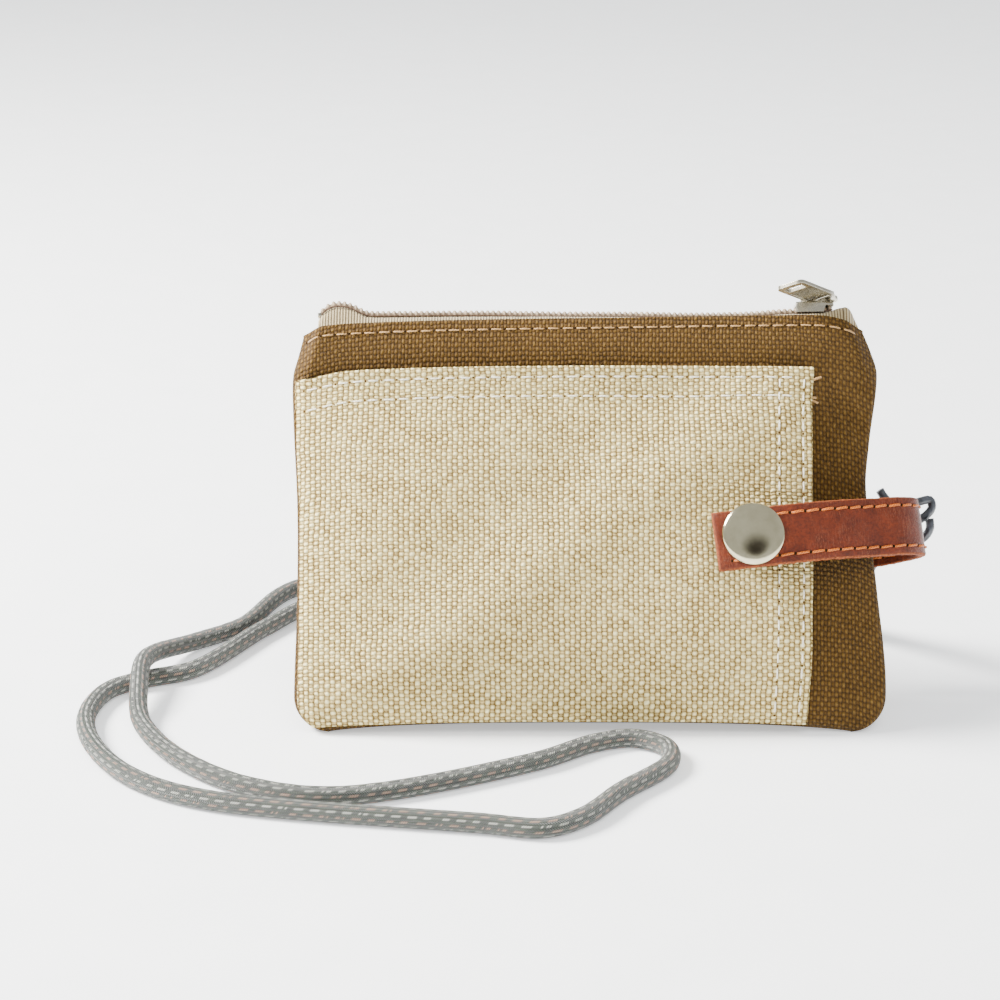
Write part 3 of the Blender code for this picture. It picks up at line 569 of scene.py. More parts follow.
class Finish(Nodes):
    """A node-based material."""

    def __init__(self, name, **settings):
        self.material = bpy.data.materials.new(name)
        self.material.use_nodes = True
        super().__init__(self.material.node_tree)
        self.shader = self.tree.nodes["Principled BSDF"]
        for key, value in settings.items():
            self.shader.inputs[SHADER_INPUTS[key]].default_value = value

    def finish(self, colour, roughness, height=None, depth=0.1):
        """Connects colour, roughness and a height whose full range is depth, in millimetres."""
        self.put(colour, self.shader.inputs["Base Color"])
        self.put(roughness, self.shader.inputs["Roughness"])
        if height is not None:
            bump = self.node("Bump", {"Strength": 1.0, "Distance": depth * MM, "Height": height})
            self.put(bump[0], self.shader.inputs["Normal"])
        return self.material


def woven(name, dark, mid, light, sheen, column, row, depth, contrast=1.0, shortness=1.0):
    """Plain-weave canvas from the cloth attribute in mm: fat upright warp floats, staggered, with weft between. Its
    colour follows the weave's height: painted shade in the gaps, a painted highlight on the float tops.
    """
    f = Finish(name, sheen=sheen, specular=0.25)
    across, along, _ = f.attribute("cloth")
    flat = f.vector(across, along)
    drift = f.noise(flat, 0.11) - 0.5
    shake = f.noise(flat, 0.55) - 0.5
    u = across / column + drift * 0.9 + shake * 0.35
    v = along / row + drift * 1.4 + shake * 0.4
    iu, iv = u.floor(), v.floor()
    rise = ((v + iu - 0.5).wave("COSINE") * 0.5 + 0.5) ** shortness
    warp = rise * abs(u.wave()) ** 0.45
    weft = ((u + iv - 0.5).wave("COSINE") * -0.5 + 0.5) * abs(v.wave()) ** 0.6 * 0.5
    warp_tint = f.random(iu, ((v + iu + 0.5) * 0.5).floor(), 0.5)
    weft_tint = f.random(iv, (u * 0.5).floor(), 4.5)
    warp *= warp_tint * 0.18 + 0.88
    weft *= weft_tint * 0.3 + 0.8
    top = warp.math("MAXIMUM", weft)
    turn = across * 4.2 + along * 2.4
    fibre = f.noise(f.vector(turn, along * 0.7, warp_tint), 1.0, 3.0, 0.62) - 0.5
    patches = f.noise(flat, 0.055, 3.0) - 0.5
    level = fibre * 0.5 + top + (warp_tint - 0.5) * 0.12 + patches * 0.06
    # Painted shade and highlight: besides the yarns' own tints, the colour follows the weave's height, dark in the
    # gaps between yarns and light on the float tops; contrast stretches both.
    level = (level - 0.5) * contrast + 0.5
    low = f.mix(f.span(level, 0.0, 0.5), dark, mid)
    colour = f.mix(f.span(level, 0.5, 1.0), low, light)
    return f.finish(colour, 0.92, fibre * 0.34 + top, depth)


def sewing_thread(name, dark, light, sheen=0.3, roughness=0.55):
    """Twisted sewing thread, from the thread attribute (along in mm, around from 0 to 1); painted shade darkens it
    in the grooves of its twist.
    """
    f = Finish(name, sheen=sheen)
    along, around, _ = f.attribute("thread")
    ridge = abs((along * 1.7 + around * 3.0).wave())
    # Painted shade: darker in the twist's grooves, lighter on its ridges, with a random tone from the noise.
    level = ridge * 0.7 + f.noise(f.place(), 2600.0, 3.0) * 0.4
    return f.finish(f.mix(f.span(level, 0.1, 0.95), dark, light), roughness, level, 0.06)


def hole_shade_and_thread_finish(name, colour):
    """Painted shade standing in a needle hole, or the dark sewing thread beside the coil in its own colour."""
    f = Finish(name, specular=0.1)
    return f.finish(f.mix(f.noise(f.place(), 2500.0), colour, linear(20, 14, 6)), 0.95)


def zip_tape_finish():
    """Ribbed polyester tape, with painted shade in the grooves between its ribs and lighter rib tops."""
    f = Finish("zip tape ribs", sheen=0.35, specular=0.3)
    across, along, _ = f.attribute("cloth")
    rib = (across * (2 / RIB_PITCH)).wave() * 0.5 + 0.5
    picks = (along * (2 / RIB_PICK)).wave() * 0.5 + 0.5
    height = rib * 0.8 + picks * rib * 0.25
    level = height * 0.7 + f.noise(f.vector(across, along), 2.2, 3.0) * 0.35
    # Painted shade: the colour follows the ribs' height, dark in the grooves and light on the tops, with a random
    # tone from the noise.
    colour = f.mix(f.span(level, 0.15, 1.0), linear(92, 76, 48), linear(206, 186, 142))
    return f.finish(colour, 0.85, height, 0.16)


def coil_finish():
    """Nylon monofilament of the coil, flecked at random between a darker and a lighter warm taupe."""
    f = Finish("nylon coil", sheen=0.1, specular=0.5)
    speck = f.noise(f.place(), 900.0)
    colour = f.mix(f.span(speck, 0.3, 0.75), linear(120, 101, 80), linear(172, 151, 123))
    return f.finish(colour, f.span(speck, 0.2, 0.8, 0.42, 0.6), speck, 0.03)


def nickel_finish(name, colour_low, colour_high, roughness):
    """Plated metal with a faint polish haze and small scuffs."""
    f = Finish(name, metallic=1.0)
    haze = f.noise(f.place(), 140.0, 4.0, 0.6)
    scuff = f.noise(f.place(), 1500.0, 3.0, 0.7)
    colour = f.mix(f.span(haze, 0.3, 0.7), colour_low, colour_high)
    rough = f.span(haze, 0.3, 0.75, roughness * 0.75, roughness * 1.3) + f.span(scuff, 0.6, 0.8, 0.0, 0.12)
    return f.finish(colour, rough, haze, 0.01)


def leather_finish():
    """Waxed red-brown leather with a fine grain, cross creases and raw orange-brown cut edges."""
    f = Finish("waxed leather", coat=0.06, coat_roughness=0.3, specular=0.3)
    along, across, edge = f.attribute("leather")
    flat = f.vector(along, across)
    pores = f.cells(flat, 3.4)
    grain = f.noise(flat, 1.6, 5.0, 0.62)
    crease = f.noise(f.vector(along * 2.6, across * 0.24, 3.0), 1.0, 3.0, 0.65)
    line = f.span(abs(crease - 0.52), 0.0, 0.022, 1.0, 0.0) * f.span(f.noise(flat, 0.13), 0.42, 0.6)
    cloud = f.noise(flat, 0.22, 4.0, 0.6)
    base = f.mix(f.span(cloud, 0.3, 0.72), linear(74, 27, 10), linear(112, 44, 17))
    base = f.mix(f.span(grain, 0.42, 0.62) * 0.6, base, linear(54, 20, 9))
    base = f.mix(line * 0.55, base, linear(160, 88, 55))
    fibre = f.noise(f.place(), 1900.0, 4.0, 0.7)
    raw = f.mix(f.span(fibre, 0.35, 0.68), linear(86, 36, 12), linear(160, 82, 34))
    height = pores * 0.55 + grain * 0.5 - line * 0.25 + edge * fibre * 1.2
    rough = f.span(grain, 0.3, 0.7, 0.36, 0.5) + edge * 0.42
    return f.finish(f.mix(edge, base, raw), rough, height, 0.11)


def waxed_cord_finish():
    """Black waxed cord: glossy, with a fine twisted rib."""
    f = Finish("black waxed cord", coat=0.7, coat_roughness=0.22)
    along, around, _ = f.attribute("thread")
    ridge = abs((along * 0.75 + around * 8.0).wave())
    wax = f.noise(f.place(), 700.0, 3.0)
    colour = f.mix(f.span(wax, 0.35, 0.75), linear(24, 26, 31), linear(62, 66, 74))
    return f.finish(colour, f.span(wax, 0.3, 0.7, 0.26, 0.42), ridge, 0.05)


def braid_finish():
    """Braided sheath from the braid attribute: chevron columns of green yarn, with dashed white and beige ones, and
    painted shade running to near black between the picks.
    """
    f = Finish("braided cord", sheen=0.35, specular=0.4)
    along, around, _ = f.attribute("braid")
    half = around * (2.0 * BRAID_WALES)
    index = half.floor()
    part = half - index
    side = index % 2.0
    wale = (index * 0.5).floor()
    tilt = (side * -2.0 + 1.0) * (part - 0.5) * 0.95
    q = along / BRAID_PICK + tilt + side * 0.5
    pick = q.floor()
    bulge = (q - pick).wave() ** 1.5 * part.wave() ** 0.5
    carrier = (wale * 3.0 + pick) % 7.0
    shade = f.random(index, (pick * 0.2).floor(), 2.0)
    fleck = f.random(pick, index, 7.0)
    white = (carrier < 3.5) * (fleck > 0.12) * (side < 0.5)
    pink = white * (wale % 2.0 > 0.5)
    green = f.mix(shade, linear(40, 56, 38), linear(74, 90, 66))
    green = f.mix(fleck * 0.45, green, linear(30, 38, 32))
    colour = f.mix(white * 0.85, green, linear(224, 224, 208))
    colour = f.mix(pink * 0.9, colour, linear(196, 148, 116))
    fibre = f.noise(f.place(), 3200.0)
    # Painted shade: near black in the gaps between picks, and a little darker at random with the fibre noise.
    dim = f.span(bulge, 0.1, 0.85) * f.span(fibre, 0.2, 0.7, 0.75, 1.0)
    return f.finish(f.mix(dim, linear(20, 24, 20), colour), 0.66, bulge + fibre * 0.18, 0.34)


def floor_finish():
    """Pale matt table top, lit a little from inside like a light table."""
    f = Finish("pale table", specular=0.2, glow=(0.97, 0.99, 1.0, 1.0), glow_strength=0.6)
    grain = f.noise(f.place(), 60.0, 4.0)
    colour = f.mix(f.span(grain, 0.3, 0.7), linear(238, 240, 241), linear(243, 244, 245))
    return f.finish(colour, 0.7, grain, 0.02)


def make_finishes():
    return {
        # Painted shade and highlight: each woven canvas's dark colour is shade in the weave's gaps and its light
        # colour a highlight on the yarn tops; the middle one is the cloth's own colour.
        "canvas": woven(
            "brown canvas", linear(34, 21, 3), linear(82, 57, 17), linear(108, 81, 33), 0.02,
            BROWN_COLUMN, BROWN_ROW, 0.6, 1.0, 1.3,
        ),
        "pocket": woven(
            "cream canvas", linear(104, 80, 38), linear(213, 188, 122), linear(255, 242, 182), 0.02,
            COLUMN, ROW, 0.95, 1.5, 0.85,
        ),
        "binding": woven(
            "binding tape", linear(52, 34, 12), linear(92, 64, 26), linear(128, 94, 50), 0.06,
            0.5, 0.35, 0.15,
        ),
        # Painted shade: each thread's darker colour, here and for the orange thread below, is shade in its twist's
        # grooves.
        "tan thread": sewing_thread("tan thread", linear(122, 82, 34), linear(196, 152, 90)),
        "cream thread": sewing_thread("cream thread", linear(222, 208, 176), linear(252, 246, 230)),
        # Painted shade: the brown and cream needle-hole colours stand for the shade in the holes; the coil thread's
        # colour is its own.
        "brown hole shade": hole_shade_and_thread_finish("painted needle hole shade in brown canvas", linear(46, 28, 8)),
        "cream hole shade": hole_shade_and_thread_finish("painted needle hole shade in cream canvas", linear(120, 90, 52)),
        "coil thread": hole_shade_and_thread_finish("coil sewing thread", linear(128, 104, 88)),
        "orange thread": sewing_thread("waxed orange thread", linear(118, 50, 0), linear(200, 102, 4), 0.02, 0.45),
        "tape": zip_tape_finish(),
        "coil": coil_finish(),
        "nickel": nickel_finish("nickel plate", linear(158, 151, 134), linear(200, 193, 174), 0.24),
        "cap nickel": nickel_finish("polished nickel", linear(184, 176, 144), linear(210, 202, 170), 0.13),
        "leather": leather_finish(),
        "waxed cord": waxed_cord_finish(),
        "braid": braid_finish(),
        "floor": floor_finish(),
    }


# ---- camera, light and floor ----------------------------------------------------------------------------


def make_camera():
    """The photographed view: 18 degrees down on the pouch, a long lens at half a metre."""
    elevation = math.radians(18.0)
    data = bpy.data.cameras.new("camera")
    data.sensor_width = 36.0
    data.lens = 95.3
    data.clip_start = 0.01
    data.clip_end = 50.0
    camera = bpy.data.objects.new("camera", data)
    camera.location = (-0.019035, -0.52743, 0.21972)
    camera.rotation_euler = (math.radians(90) - elevation, 0, 0)
    bpy.context.collection.objects.link(camera)
    bpy.context.scene.camera = camera


def area_light(name, place, target, size, power, colour):
    data = bpy.data.lights.new(name, "AREA")
    data.shape = "DISK"
    data.size = size
    data.energy = power
    data.color = colour
    lamp = bpy.data.objects.new(name, data)
    lamp.location = place
    lamp.rotation_euler = (Vector(target) - Vector(place)).to_track_quat("-Z", "Y").to_euler()
    bpy.context.collection.objects.link(lamp)
    return lamp


def make_light():
    """A bright white room with a window high on the left, and someone standing in front."""
    room = bpy.data.worlds.new("room")
    bpy.context.scene.world = room
    room.use_nodes = True
    nodes = Nodes(room.node_tree)
    background = nodes.tree.nodes["Background"]
    background.inputs["Strength"].default_value = 0.85
    direction = nodes.node("TexCoord", ())["Generated"]
    facing = nodes.node("VectorMath", (direction, PERSON_AT), operation="DOT_PRODUCT")["Value"]
    person = nodes.node("MapRange", (facing, 0.965, 0.998), interpolation_type="SMOOTHSTEP")[0]
    colour = nodes.mix(person, (0.95, 0.975, 1.0, 1.0), (0.05, 0.04, 0.035, 1.0))
    nodes.put(colour, background.inputs["Color"])
    centre = (0, 0.01, 0.04)
    area_light("window", (-0.8, 0.1, 0.72), centre, 0.45, 62.0, (1.0, 0.985, 0.955))
    fill = area_light("high fill", (0.35, -0.9, 1.5), centre, 1.2, 24.0, (1.0, 0.99, 0.97))
    fill.visible_glossy = False


def make_floor(finishes):
    half = 4.0
    points = [(-half, -half, 0), (half, -half, 0), (half, half, 0), (-half, half, 0)]
    floor = mesh_piece("floor", points, [(0, 1, 2, 3)], finishes["floor"], None, place=Vector, smooth=False)


# ---- neck cord ------------------------------------------------------------------------------------------


def make_neck_cord(finishes):
    """The braided cord, slightly uneven and never below the floor: the piece, its centreline and its length."""
    radius = CORD_DIAMETER / 2
    path = smooth_path(CORD_ROUTE, 0.5)
    for p in path:
        p.z = max(p.z, radius)
    points, faces, marks = tube_mesh(path, radius, CORD_SIDES)
    uneven = []
    for i, p in enumerate(points):
        centre = path[i // CORD_SIDES]
        along, around, _ = marks[i]
        swell = 1.0 + 0.022 * noise.noise(Vector((along * 0.35, 0, 0)))
        swell += 0.030 * abs(math.sin(math.pi * around * 2 * BRAID_WALES)) - 0.02
        q = centre + (p - centre) * swell
        q.z = max(q.z, 0.03)
        uneven.append(q)
    cord = mesh_piece("neck_cord_braid", uneven, faces, finishes["braid"], "pouch", {"braid": marks}, place=metres)
    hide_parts("neck_cord")
    length = sum((b - a).length for a, b in zip(path, path[1:])) * MM
    return cord, [p * MM for p in path[::6]] + [path[-1] * MM], length


# ---- the pouch surface ----------------------------------------------------------------------------------


def corner_inset(z):
    """How far the rounded bottom corners draw a side in at the height z."""
    if z >= BOTTOM_CORNER:
        return 0.0
    return BOTTOM_CORNER - math.sqrt(BOTTOM_CORNER**2 - (BOTTOM_CORNER - max(z, 0)) ** 2)


def seam_point(u, v):
    """(x, z) of the flat pattern at u across and v up, with the bottom corners rounded."""
    z_low = BOTTOM_ARCH * (1 - abs(2 * u - 1) ** 3)
    z = z_low + v * (interpolate(TOP_EDGE, u) - z_low)
    left = interpolate(LEFT_SIDE, z) + corner_inset(z)
    right = interpolate(RIGHT_SIDE, z) - corner_inset(z)
    return left + u * (right - left), z


def swell(u, v, profile):
    """How far a panel's outer face stands off the seam plane."""
    side = (1 - min(abs(2 * u - 1), 1.0) ** 3) ** 0.7
    width = interpolate(RIGHT_SIDE, 90) - interpolate(LEFT_SIDE, 90)
    from_end = min(u, 1 - u) * width
    mouth = MOUTH_HALF_WIDTH * ease(from_end / MOUTH_END) * ease((v - 0.78) / 0.2)
    return EDGE_Y + side * interpolate(profile, v) + mouth


def front_point(u, v):
    x, z = seam_point(u, v)
    return Vector((x, -swell(u, v, FRONT_SWELL), z))


def floor_height(p):
    """Height above the floor of a point of the pouch's frame."""
    return p.z * math.cos(LEAN) - p.y * math.sin(LEAN)


def keep_above(p, least):
    """Lifts a point of the pouch's frame to the least height above the floor."""
    short = least - floor_height(p)
    if short > 0:
        p.y -= short * math.sin(LEAN)
        p.z += short * math.cos(LEAN)


def back_point(u, v):
    """The back panel's outer face, pressed flat where it rests on the floor."""
    x, z = seam_point(u, v)
    p = Vector((x, swell(u, v, BACK_SWELL), z))
    keep_above(p, 0.0)
    return p


def locate(x, z):
    """The (u, v) of the front face at x and z."""
    u = v = 0.5
    for _ in range(12):
        at_x, at_z = seam_point(u, v)
        v = min(max(v + (z - at_z) / PANEL_HEIGHT, 0.0), 1.0)
        u = min(max(u + (x - at_x) / MEAN_WIDTH, 0.0), 1.0)
    return u, v


def front_at(x, z):
    """Point and outward normal of the front panel's face at x and z."""
    u, v = locate(x, z)
    step = 0.01
    u0, u1 = max(u - step, 0.0), min(u + step, 1.0)
    v0, v1 = max(v - step, 0.0), min(v + step, 1.0)
    along = front_point(u1, v) - front_point(u0, v)
    up = front_point(u, v1) - front_point(u, v0)
    normal = along.cross(up).normalized()
    return front_point(u, v), normal if normal.y < 0 else -normal


def quarter_round(distance, radius):
    """Share of a rounded edge's drop at a distance from the edge: 1 on it, 0 from the radius on."""
    if distance >= radius:
        return 0.0
    return 1 - math.sqrt(max(1 - (1 - distance / radius) ** 2, 0.0))


def from_seams(u, v):
    """Distances from the nearer side seam and from the bottom seam."""
    return min(u, 1 - u) * PANEL_WIDTH, v * PANEL_HEIGHT


def seam_roll(u, v):
    """How far the turned seam rounds the face back towards the seam plane, from 0 away from it to 1 on it."""
    return quarter_round(min(from_seams(u, v)), SEAM_ROUND)


def pucker(u, v, x, z):
    """Small gathers that the seams pull into the cloth beside them."""
    from_side, from_bottom = from_seams(u, v)
    at_side = math.exp(-((from_side / 7.0) ** 2)) * ease(from_side / 1.5)
    at_bottom = math.exp(-((from_bottom / 6.0) ** 2)) * ease(from_bottom / 1.5)
    gathers = at_side * wobble(z * 1.4, u * 9, 5.0, 3.1) + at_bottom * wobble(x * 1.2, 7, 6.0, 5.7)
    top = ease((v - 0.93) / 0.05)
    return 0.55 * gathers + 0.16 * top * wobble(x, 2, 4.5, 8.2)


def front_face(u, v):
    """The front panel's outer face with its folds and gathers; its top is left for the round of the fold."""
    p = front_point(u, v)
    p.z -= CANVAS / 2 * ease((v - 0.8) / 0.2)
    roll = seam_roll(u, v)
    p.y += (-p.y - 0.12) * roll
    p.y -= (0.30 * wobble(p.x, p.z, 21.0, 1.3) + pucker(u, v, p.x, p.z)) * (1 - roll) * ease(v * 12)
    corner_fold = math.exp(-(((p.x - 58) / 5.5) ** 2) - ((p.z - 64 + (p.x - 58) * 1.2) / 3.2) ** 2)
    p.y += 0.55 * corner_fold * (1 - roll)
    return p


def back_face(u, v):
    """The back panel's outer face, slack where it is clear of the floor."""
    p = back_point(u, v)
    p.z -= CANVAS / 2 * ease((v - 0.8) / 0.2)
    roll = seam_roll(u, v)
    p.y += (0.12 - p.y) * roll
    free = ease((floor_height(p) - 0.4) / 3.0)
    p.y += (0.45 * wobble(p.x, p.z, 24.0, 6.3) - pucker(u, v, p.x, p.z)) * (1 - roll) * free
    keep_above(p, 0.02)
    return p


def steps(count, power):
    """Positions from 0 to 1, closer together near both ends."""
    shares = [k / count for k in range(count + 1)]
    return [t * (1 - power) + power * (0.5 - 0.5 * math.cos(math.pi * t)) for t in shares]


def make_panel(name, face, direction, node, finishes):
    """A canvas panel: outer face, a round fold along the top edge, and the inner face."""
    us = steps(170, 0.55)
    vs = steps(130, 0.55)
    outer = [[face(u, v) for u in us] for v in vs]
    rows = list(outer)
    half = CANVAS / 2
    for k in range(1, 6):
        turn = math.pi * k / 6
        row = []
        for p in outer[-1]:
            inward = min(half * (1 - math.cos(turn)), abs(p.y) - 0.1)
            row.append(Vector((p.x, p.y - direction * inward, p.z + half * math.sin(turn))))
        rows.append(row)
    for row in reversed(outer):
        rows.append([Vector((p.x, p.y - direction * min(CANVAS, abs(p.y) - 0.06), p.z)) for p in row])
    columns = len(us)
    cloth = []
    along = [0.0] * columns
    for i, row in enumerate(rows):
        for j, p in enumerate(row):
            if i:
                along[j] += (p - rows[i - 1][j]).length
            cloth.append((p.x, along[j], 0.0))
    last = (len(rows) - 1) * columns
    rim = [(j, last + j, last + j + 1, j + 1) for j in range(columns - 1)]
    faces = grid_faces(len(rows), columns, flip=direction > 0)
    faces += rim if direction < 0 else [quad[::-1] for quad in rim]
    points = [p for row in rows for p in row]
    panel = mesh_piece(name, points, faces, finishes["canvas"], "pouch", {"cloth": cloth})
    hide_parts(node)


# ---- card pocket ----------------------------------------------------------------------------------------


def pocket_place(x, z, depth):
    """A point of the pocket at a depth outwards from its inner face, pressed flat round the snap."""
    centre, _ = front_at(SNAP_X, SNAP_Z)
    flat_y = centre.y - POCKET_FULL_GAP
    left = pocket_left(z)
    low = pocket_low(x)
    p, n = front_at(x, z)
    loose = ease((x - left) / 16) * ease((z - low) / 16)
    gap = POCKET_EDGE_GAP + (POCKET_FULL_GAP - POCKET_EDGE_GAP) * loose
    q = p + n * gap
    away = math.hypot(x - SNAP_X, z - SNAP_Z)
    pressed = 1 - ease((away - SNAP_FLAT) / 5)
    q.y += (flat_y - q.y) * pressed
    n = n.lerp(Vector((0, -1, 0)), pressed).normalized()
    drape = 0.95 * band(x, z) + 0.25 * wobble(x, z, 17.0, 4.4)
    q += n * (drape * loose * (1 - pressed))
    outer = ease((depth - 0.3) / 0.6)
    return q + n * (depth + outer * (1 - pressed) * hem_relief(x, z))


def hem_relief(x, z):
    """The hems are doubled cloth, drawn in a little along their seams."""
    from_edge = min(interpolate(POCKET_TOP, x) - z, pocket_right(z) - x)
    relief = 0.24 * (1 - ease((from_edge - 8.2) / 0.6))
    for row in HEM_ROWS:
        relief -= 0.16 * math.exp(-(((interpolate(POCKET_TOP, x) - z - row) / 0.55) ** 2))
    for row in SIDE_ROWS:
        relief -= 0.16 * math.exp(-(((pocket_right(z) - x - row) / 0.55) ** 2))
    return relief


def band(x, z):
    """The soft diagonal fold that the cards inside press into the pocket."""
    start, end = Vector((-34.0, 21.0)), Vector((24.0, 64.0))
    ahead = (end - start).normalized()
    off = Vector((x, z)) - start
    side = off.x * ahead.y - off.y * ahead.x
    return math.exp(-((side - 4) / 8.0) ** 2) - 0.9 * math.exp(-((side + 9) / 9.0) ** 2)


def pocket_right(z):
    """The open side leans in a little towards the bottom."""
    return POCKET_RIGHT + interpolate([(0, -1.3), (27, -0.6), (60, 0.0), (70, 0.3), (78, 0.9)], z)


def pocket_left(z):
    return interpolate(LEFT_SIDE, z) + SEWN_BORDER + corner_inset(z)


def pocket_low(x):
    return BOTTOM_ARCH * (1 - abs(min(max(x / 62.4, -1), 1)) ** 3) + 0.5


def pocket_xz(u, v):
    """(x, z) of the pocket's pattern."""
    z_guess = 1.5 + v * 76
    left = pocket_left(z_guess)
    right = pocket_right(z_guess) + 0.2 * wobble(3, z_guess, 12.0, 2.2) - 0.9 * ease((z_guess - 76.6) / 1.4) ** 3
    x = left + u * (right - left)
    low = pocket_low(x)
    return x, low + v * (interpolate(POCKET_TOP, x) - low)


def make_pocket(finishes):
    """The cream patch, with rounded hem edges at the top and right and its other edges run into the seams."""
    us = steps(150, 0.5)
    vs = steps(110, 0.5)
    half = POCKET_CANVAS / 2
    outer, inner, cloth = [], [], []
    for v in vs:
        for u in us:
            x, z = pocket_xz(u, v)
            roll = half * quarter_round(min((1 - u) * POCKET_WIDTH, (1 - v) * POCKET_HEIGHT), half)
            from_seam = min(abs(x - pocket_left(z)), abs(z - pocket_low(x)))
            sewn = 0.55 * math.exp(-((from_seam / 1.3) ** 2))
            outer.append(pocket_place(x, z, POCKET_CANVAS - roll - sewn))
            inner.append(pocket_place(x, z, min(roll, half)))
            cloth.append((x, z, 0.0))
    faces = sheet_faces(len(vs), len(us))
    pocket = mesh_piece(
        "card_pocket_cloth", outer + inner, faces, finishes["pocket"], "pouch", {"cloth": cloth + cloth}
    )
    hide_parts("card_pocket")


# ---- stitches -------------------------------------------------------------------------------------------


def stitch_row(batch, hole_shades, place, length, draw, lift=0.2, pitch=STITCH_PITCH, size=STITCH_LENGTH):
    """Stitches along a row and a dark disc of painted shade for the needle hole between each two; place(s, out,
    aside) is a point above the cloth.
    """
    count = int(length / pitch)
    for k in range(count):
        start = (length - count * pitch) / 2 + k * pitch + draw.uniform(-0.12, 0.12)
        tilt = draw.uniform(-0.1, 0.1)
        path = []
        for i in range(9):
            t = i / 8
            arch = math.sin(math.pi * t) ** 0.45
            path.append(place(start + t * size, (lift + SUNK) * arch - SUNK, tilt * (t - 0.5)))
        batch.tube(path, THREAD / 2, 7)
        middle = start - (pitch - size) / 2
        if middle > 0:
            # A short dark tube flush with the cloth: painted shade where the needle hole is.
            hole_shades.tube([place(middle, -0.3, 0), place(middle, 0.05, 0)], 0.25, 10)


def make_fold_stitches(finishes):
    """Topstitching below the fold of each panel."""
    for name, face, direction, seed in (("front", front_face, -1, 1), ("back", back_face, 1, 2)):
        draw = random.Random(seed)
        batch = Batch()
        hole_shades = Batch()

        def place(s, out, aside, face=face, direction=direction):
            x = -60.8 + s
            u, _ = locate(x, 88.0)
            top = interpolate(TOP_EDGE, u)
            v = 1 - FOLD_ROW / (top - 2)
            p = face(u, v)
            p.y += direction * out
            p.z += aside
            return p

        stitch_row(batch, hole_shades, place, 119.0, draw)
        # Painted shade of the needle holes between the stitches.
        hole_shade_piece = hole_shades.piece(f"topstitch_hole_shades_{name}", finishes["brown hole shade"], "pouch")
        row = batch.piece(f"topstitch_{name}", finishes["tan thread"], "pouch")


def make_pocket_stitches(finishes):
    """Two rows along the pocket's top hem and two down its open side."""
    draw = random.Random(3)
    batch = Batch()
    hole_shades = Batch()
    for below in HEM_ROWS:
        def across(s, out, aside, below=below):
            x = ROW_LEFT + s
            return pocket_place(x, interpolate(POCKET_TOP, x) - below + aside, POCKET_CANVAS + out)

        stitch_row(batch, hole_shades, across, POCKET_RIGHT - ROW_LEFT - 1.6, draw, **POCKET_STITCHES)
    for inside in SIDE_ROWS:
        def down(s, out, aside, inside=inside):
            z = ROW_LOW + s
            return pocket_place(pocket_right(z) - inside + aside, z, POCKET_CANVAS + out)

        stitch_row(batch, hole_shades, down, 73.0, draw, **POCKET_STITCHES)
    rows = batch.piece("pocket_stitches", finishes["cream thread"], "pouch")
    # Painted shade of the needle holes between the stitches.
    hole_shade_piece = hole_shades.piece("pocket_stitch_hole_shades", finishes["cream hole shade"], "pouch")


def make_loose_ends(finishes):
    """Cut thread ends that stick out beside the pocket's open side."""
    batch = Batch()
    for (x0, z0), (x1, z1) in LOOSE_ENDS:
        p0, n0 = front_at(x0, z0)
        p1, n1 = front_at(x1, z1)
        a = p0 + n0 * 0.9
        b = p1 + n1 * 1.1
        bend = (a + b) / 2 + Vector((0, -0.25, 0.2))
        batch.tube(smooth_path([a, bend, b], 0.3), 0.24, 8)
    ends = batch.piece("loose_thread_ends", finishes["tan thread"], "pouch")


# ---- zip ------------------------------------------------------------------------------------------------


def chain_place(x, y, above):
    """A point beside the chain, at a height above the tape's middle plane at x."""
    return on_chain((x, y, TAPE_Z + above + interpolate(CHAIN_BUMP, x)))


def chain_line(y, above, right):
    """Points beside the chain, from the coil's left end to the right."""
    return [chain_place(COIL_LEFT + 1.2 * i, y, above) for i in range(int((right - COIL_LEFT) / 1.2))]


def tape_section(x, side):
    """Middle line of one tape at x: flat beside the chain, then down behind the panel's fold."""
    u, _ = locate(x, 86.5)
    fold = interpolate(TOP_EDGE, u)
    inside = max(swell(u, 1.0, FRONT_SWELL) - CANVAS - 0.3 - TAPE / 2 - 0.1, 1.5)
    flat = chain_place(x, 0, 0).z
    shoulder = flat - 0.15 if x > 55 else min(flat - 0.15, fold + 0.5)
    knots = [
        (0.42, flat), (0.5 * inside, flat), (inside - 0.45, shoulder), (inside, min(shoulder - 0.9, fold - 0.5)),
        (inside + 0.05, fold - 6.5),
    ]
    line = smooth_path([(0, y, z) for y, z in knots], 0.45)
    return [Vector((on_chain((x, 0, TAPE_Z)).x, side * p.y, p.z)) for p in resample(line, 0.5)[:18]]


def make_tapes(finishes):
    """The two ribbed tapes, each a closed sheet that thins towards the chain."""
    xs = [-58.3 + 116.7 * k / 300 for k in range(301)]
    for name, side in (("front", -1), ("back", 1)):
        upper, lower, cloth = [], [], []
        sections = [tape_section(x, side) for x in xs]
        count = min(len(s) for s in sections)
        for x, section in zip(xs, sections):
            along = 0.0
            for i in range(count):
                p = section[i]
                ahead = section[min(i + 1, count - 1)] - section[max(i - 1, 0)]
                normal = Vector((0, -ahead.z, ahead.y)).normalized() * side
                if i:
                    along += (p - section[i - 1]).length
                thick = TAPE / 2 * (0.4 + 0.6 * ease(i / 1.5))
                upper.append(p + normal * thick)
                lower.append(p - normal * thick)
                cloth.append((x, along, 0.0))
        faces = sheet_faces(len(xs), count, flip=side > 0)
        tape = mesh_piece(
            f"zip_tape_{name}_ribbed", upper + lower, faces, finishes["tape"], "pouch", {"cloth": cloth + cloth}
        )
        outward(tape)
        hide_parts(f"zip_tape_{name}")


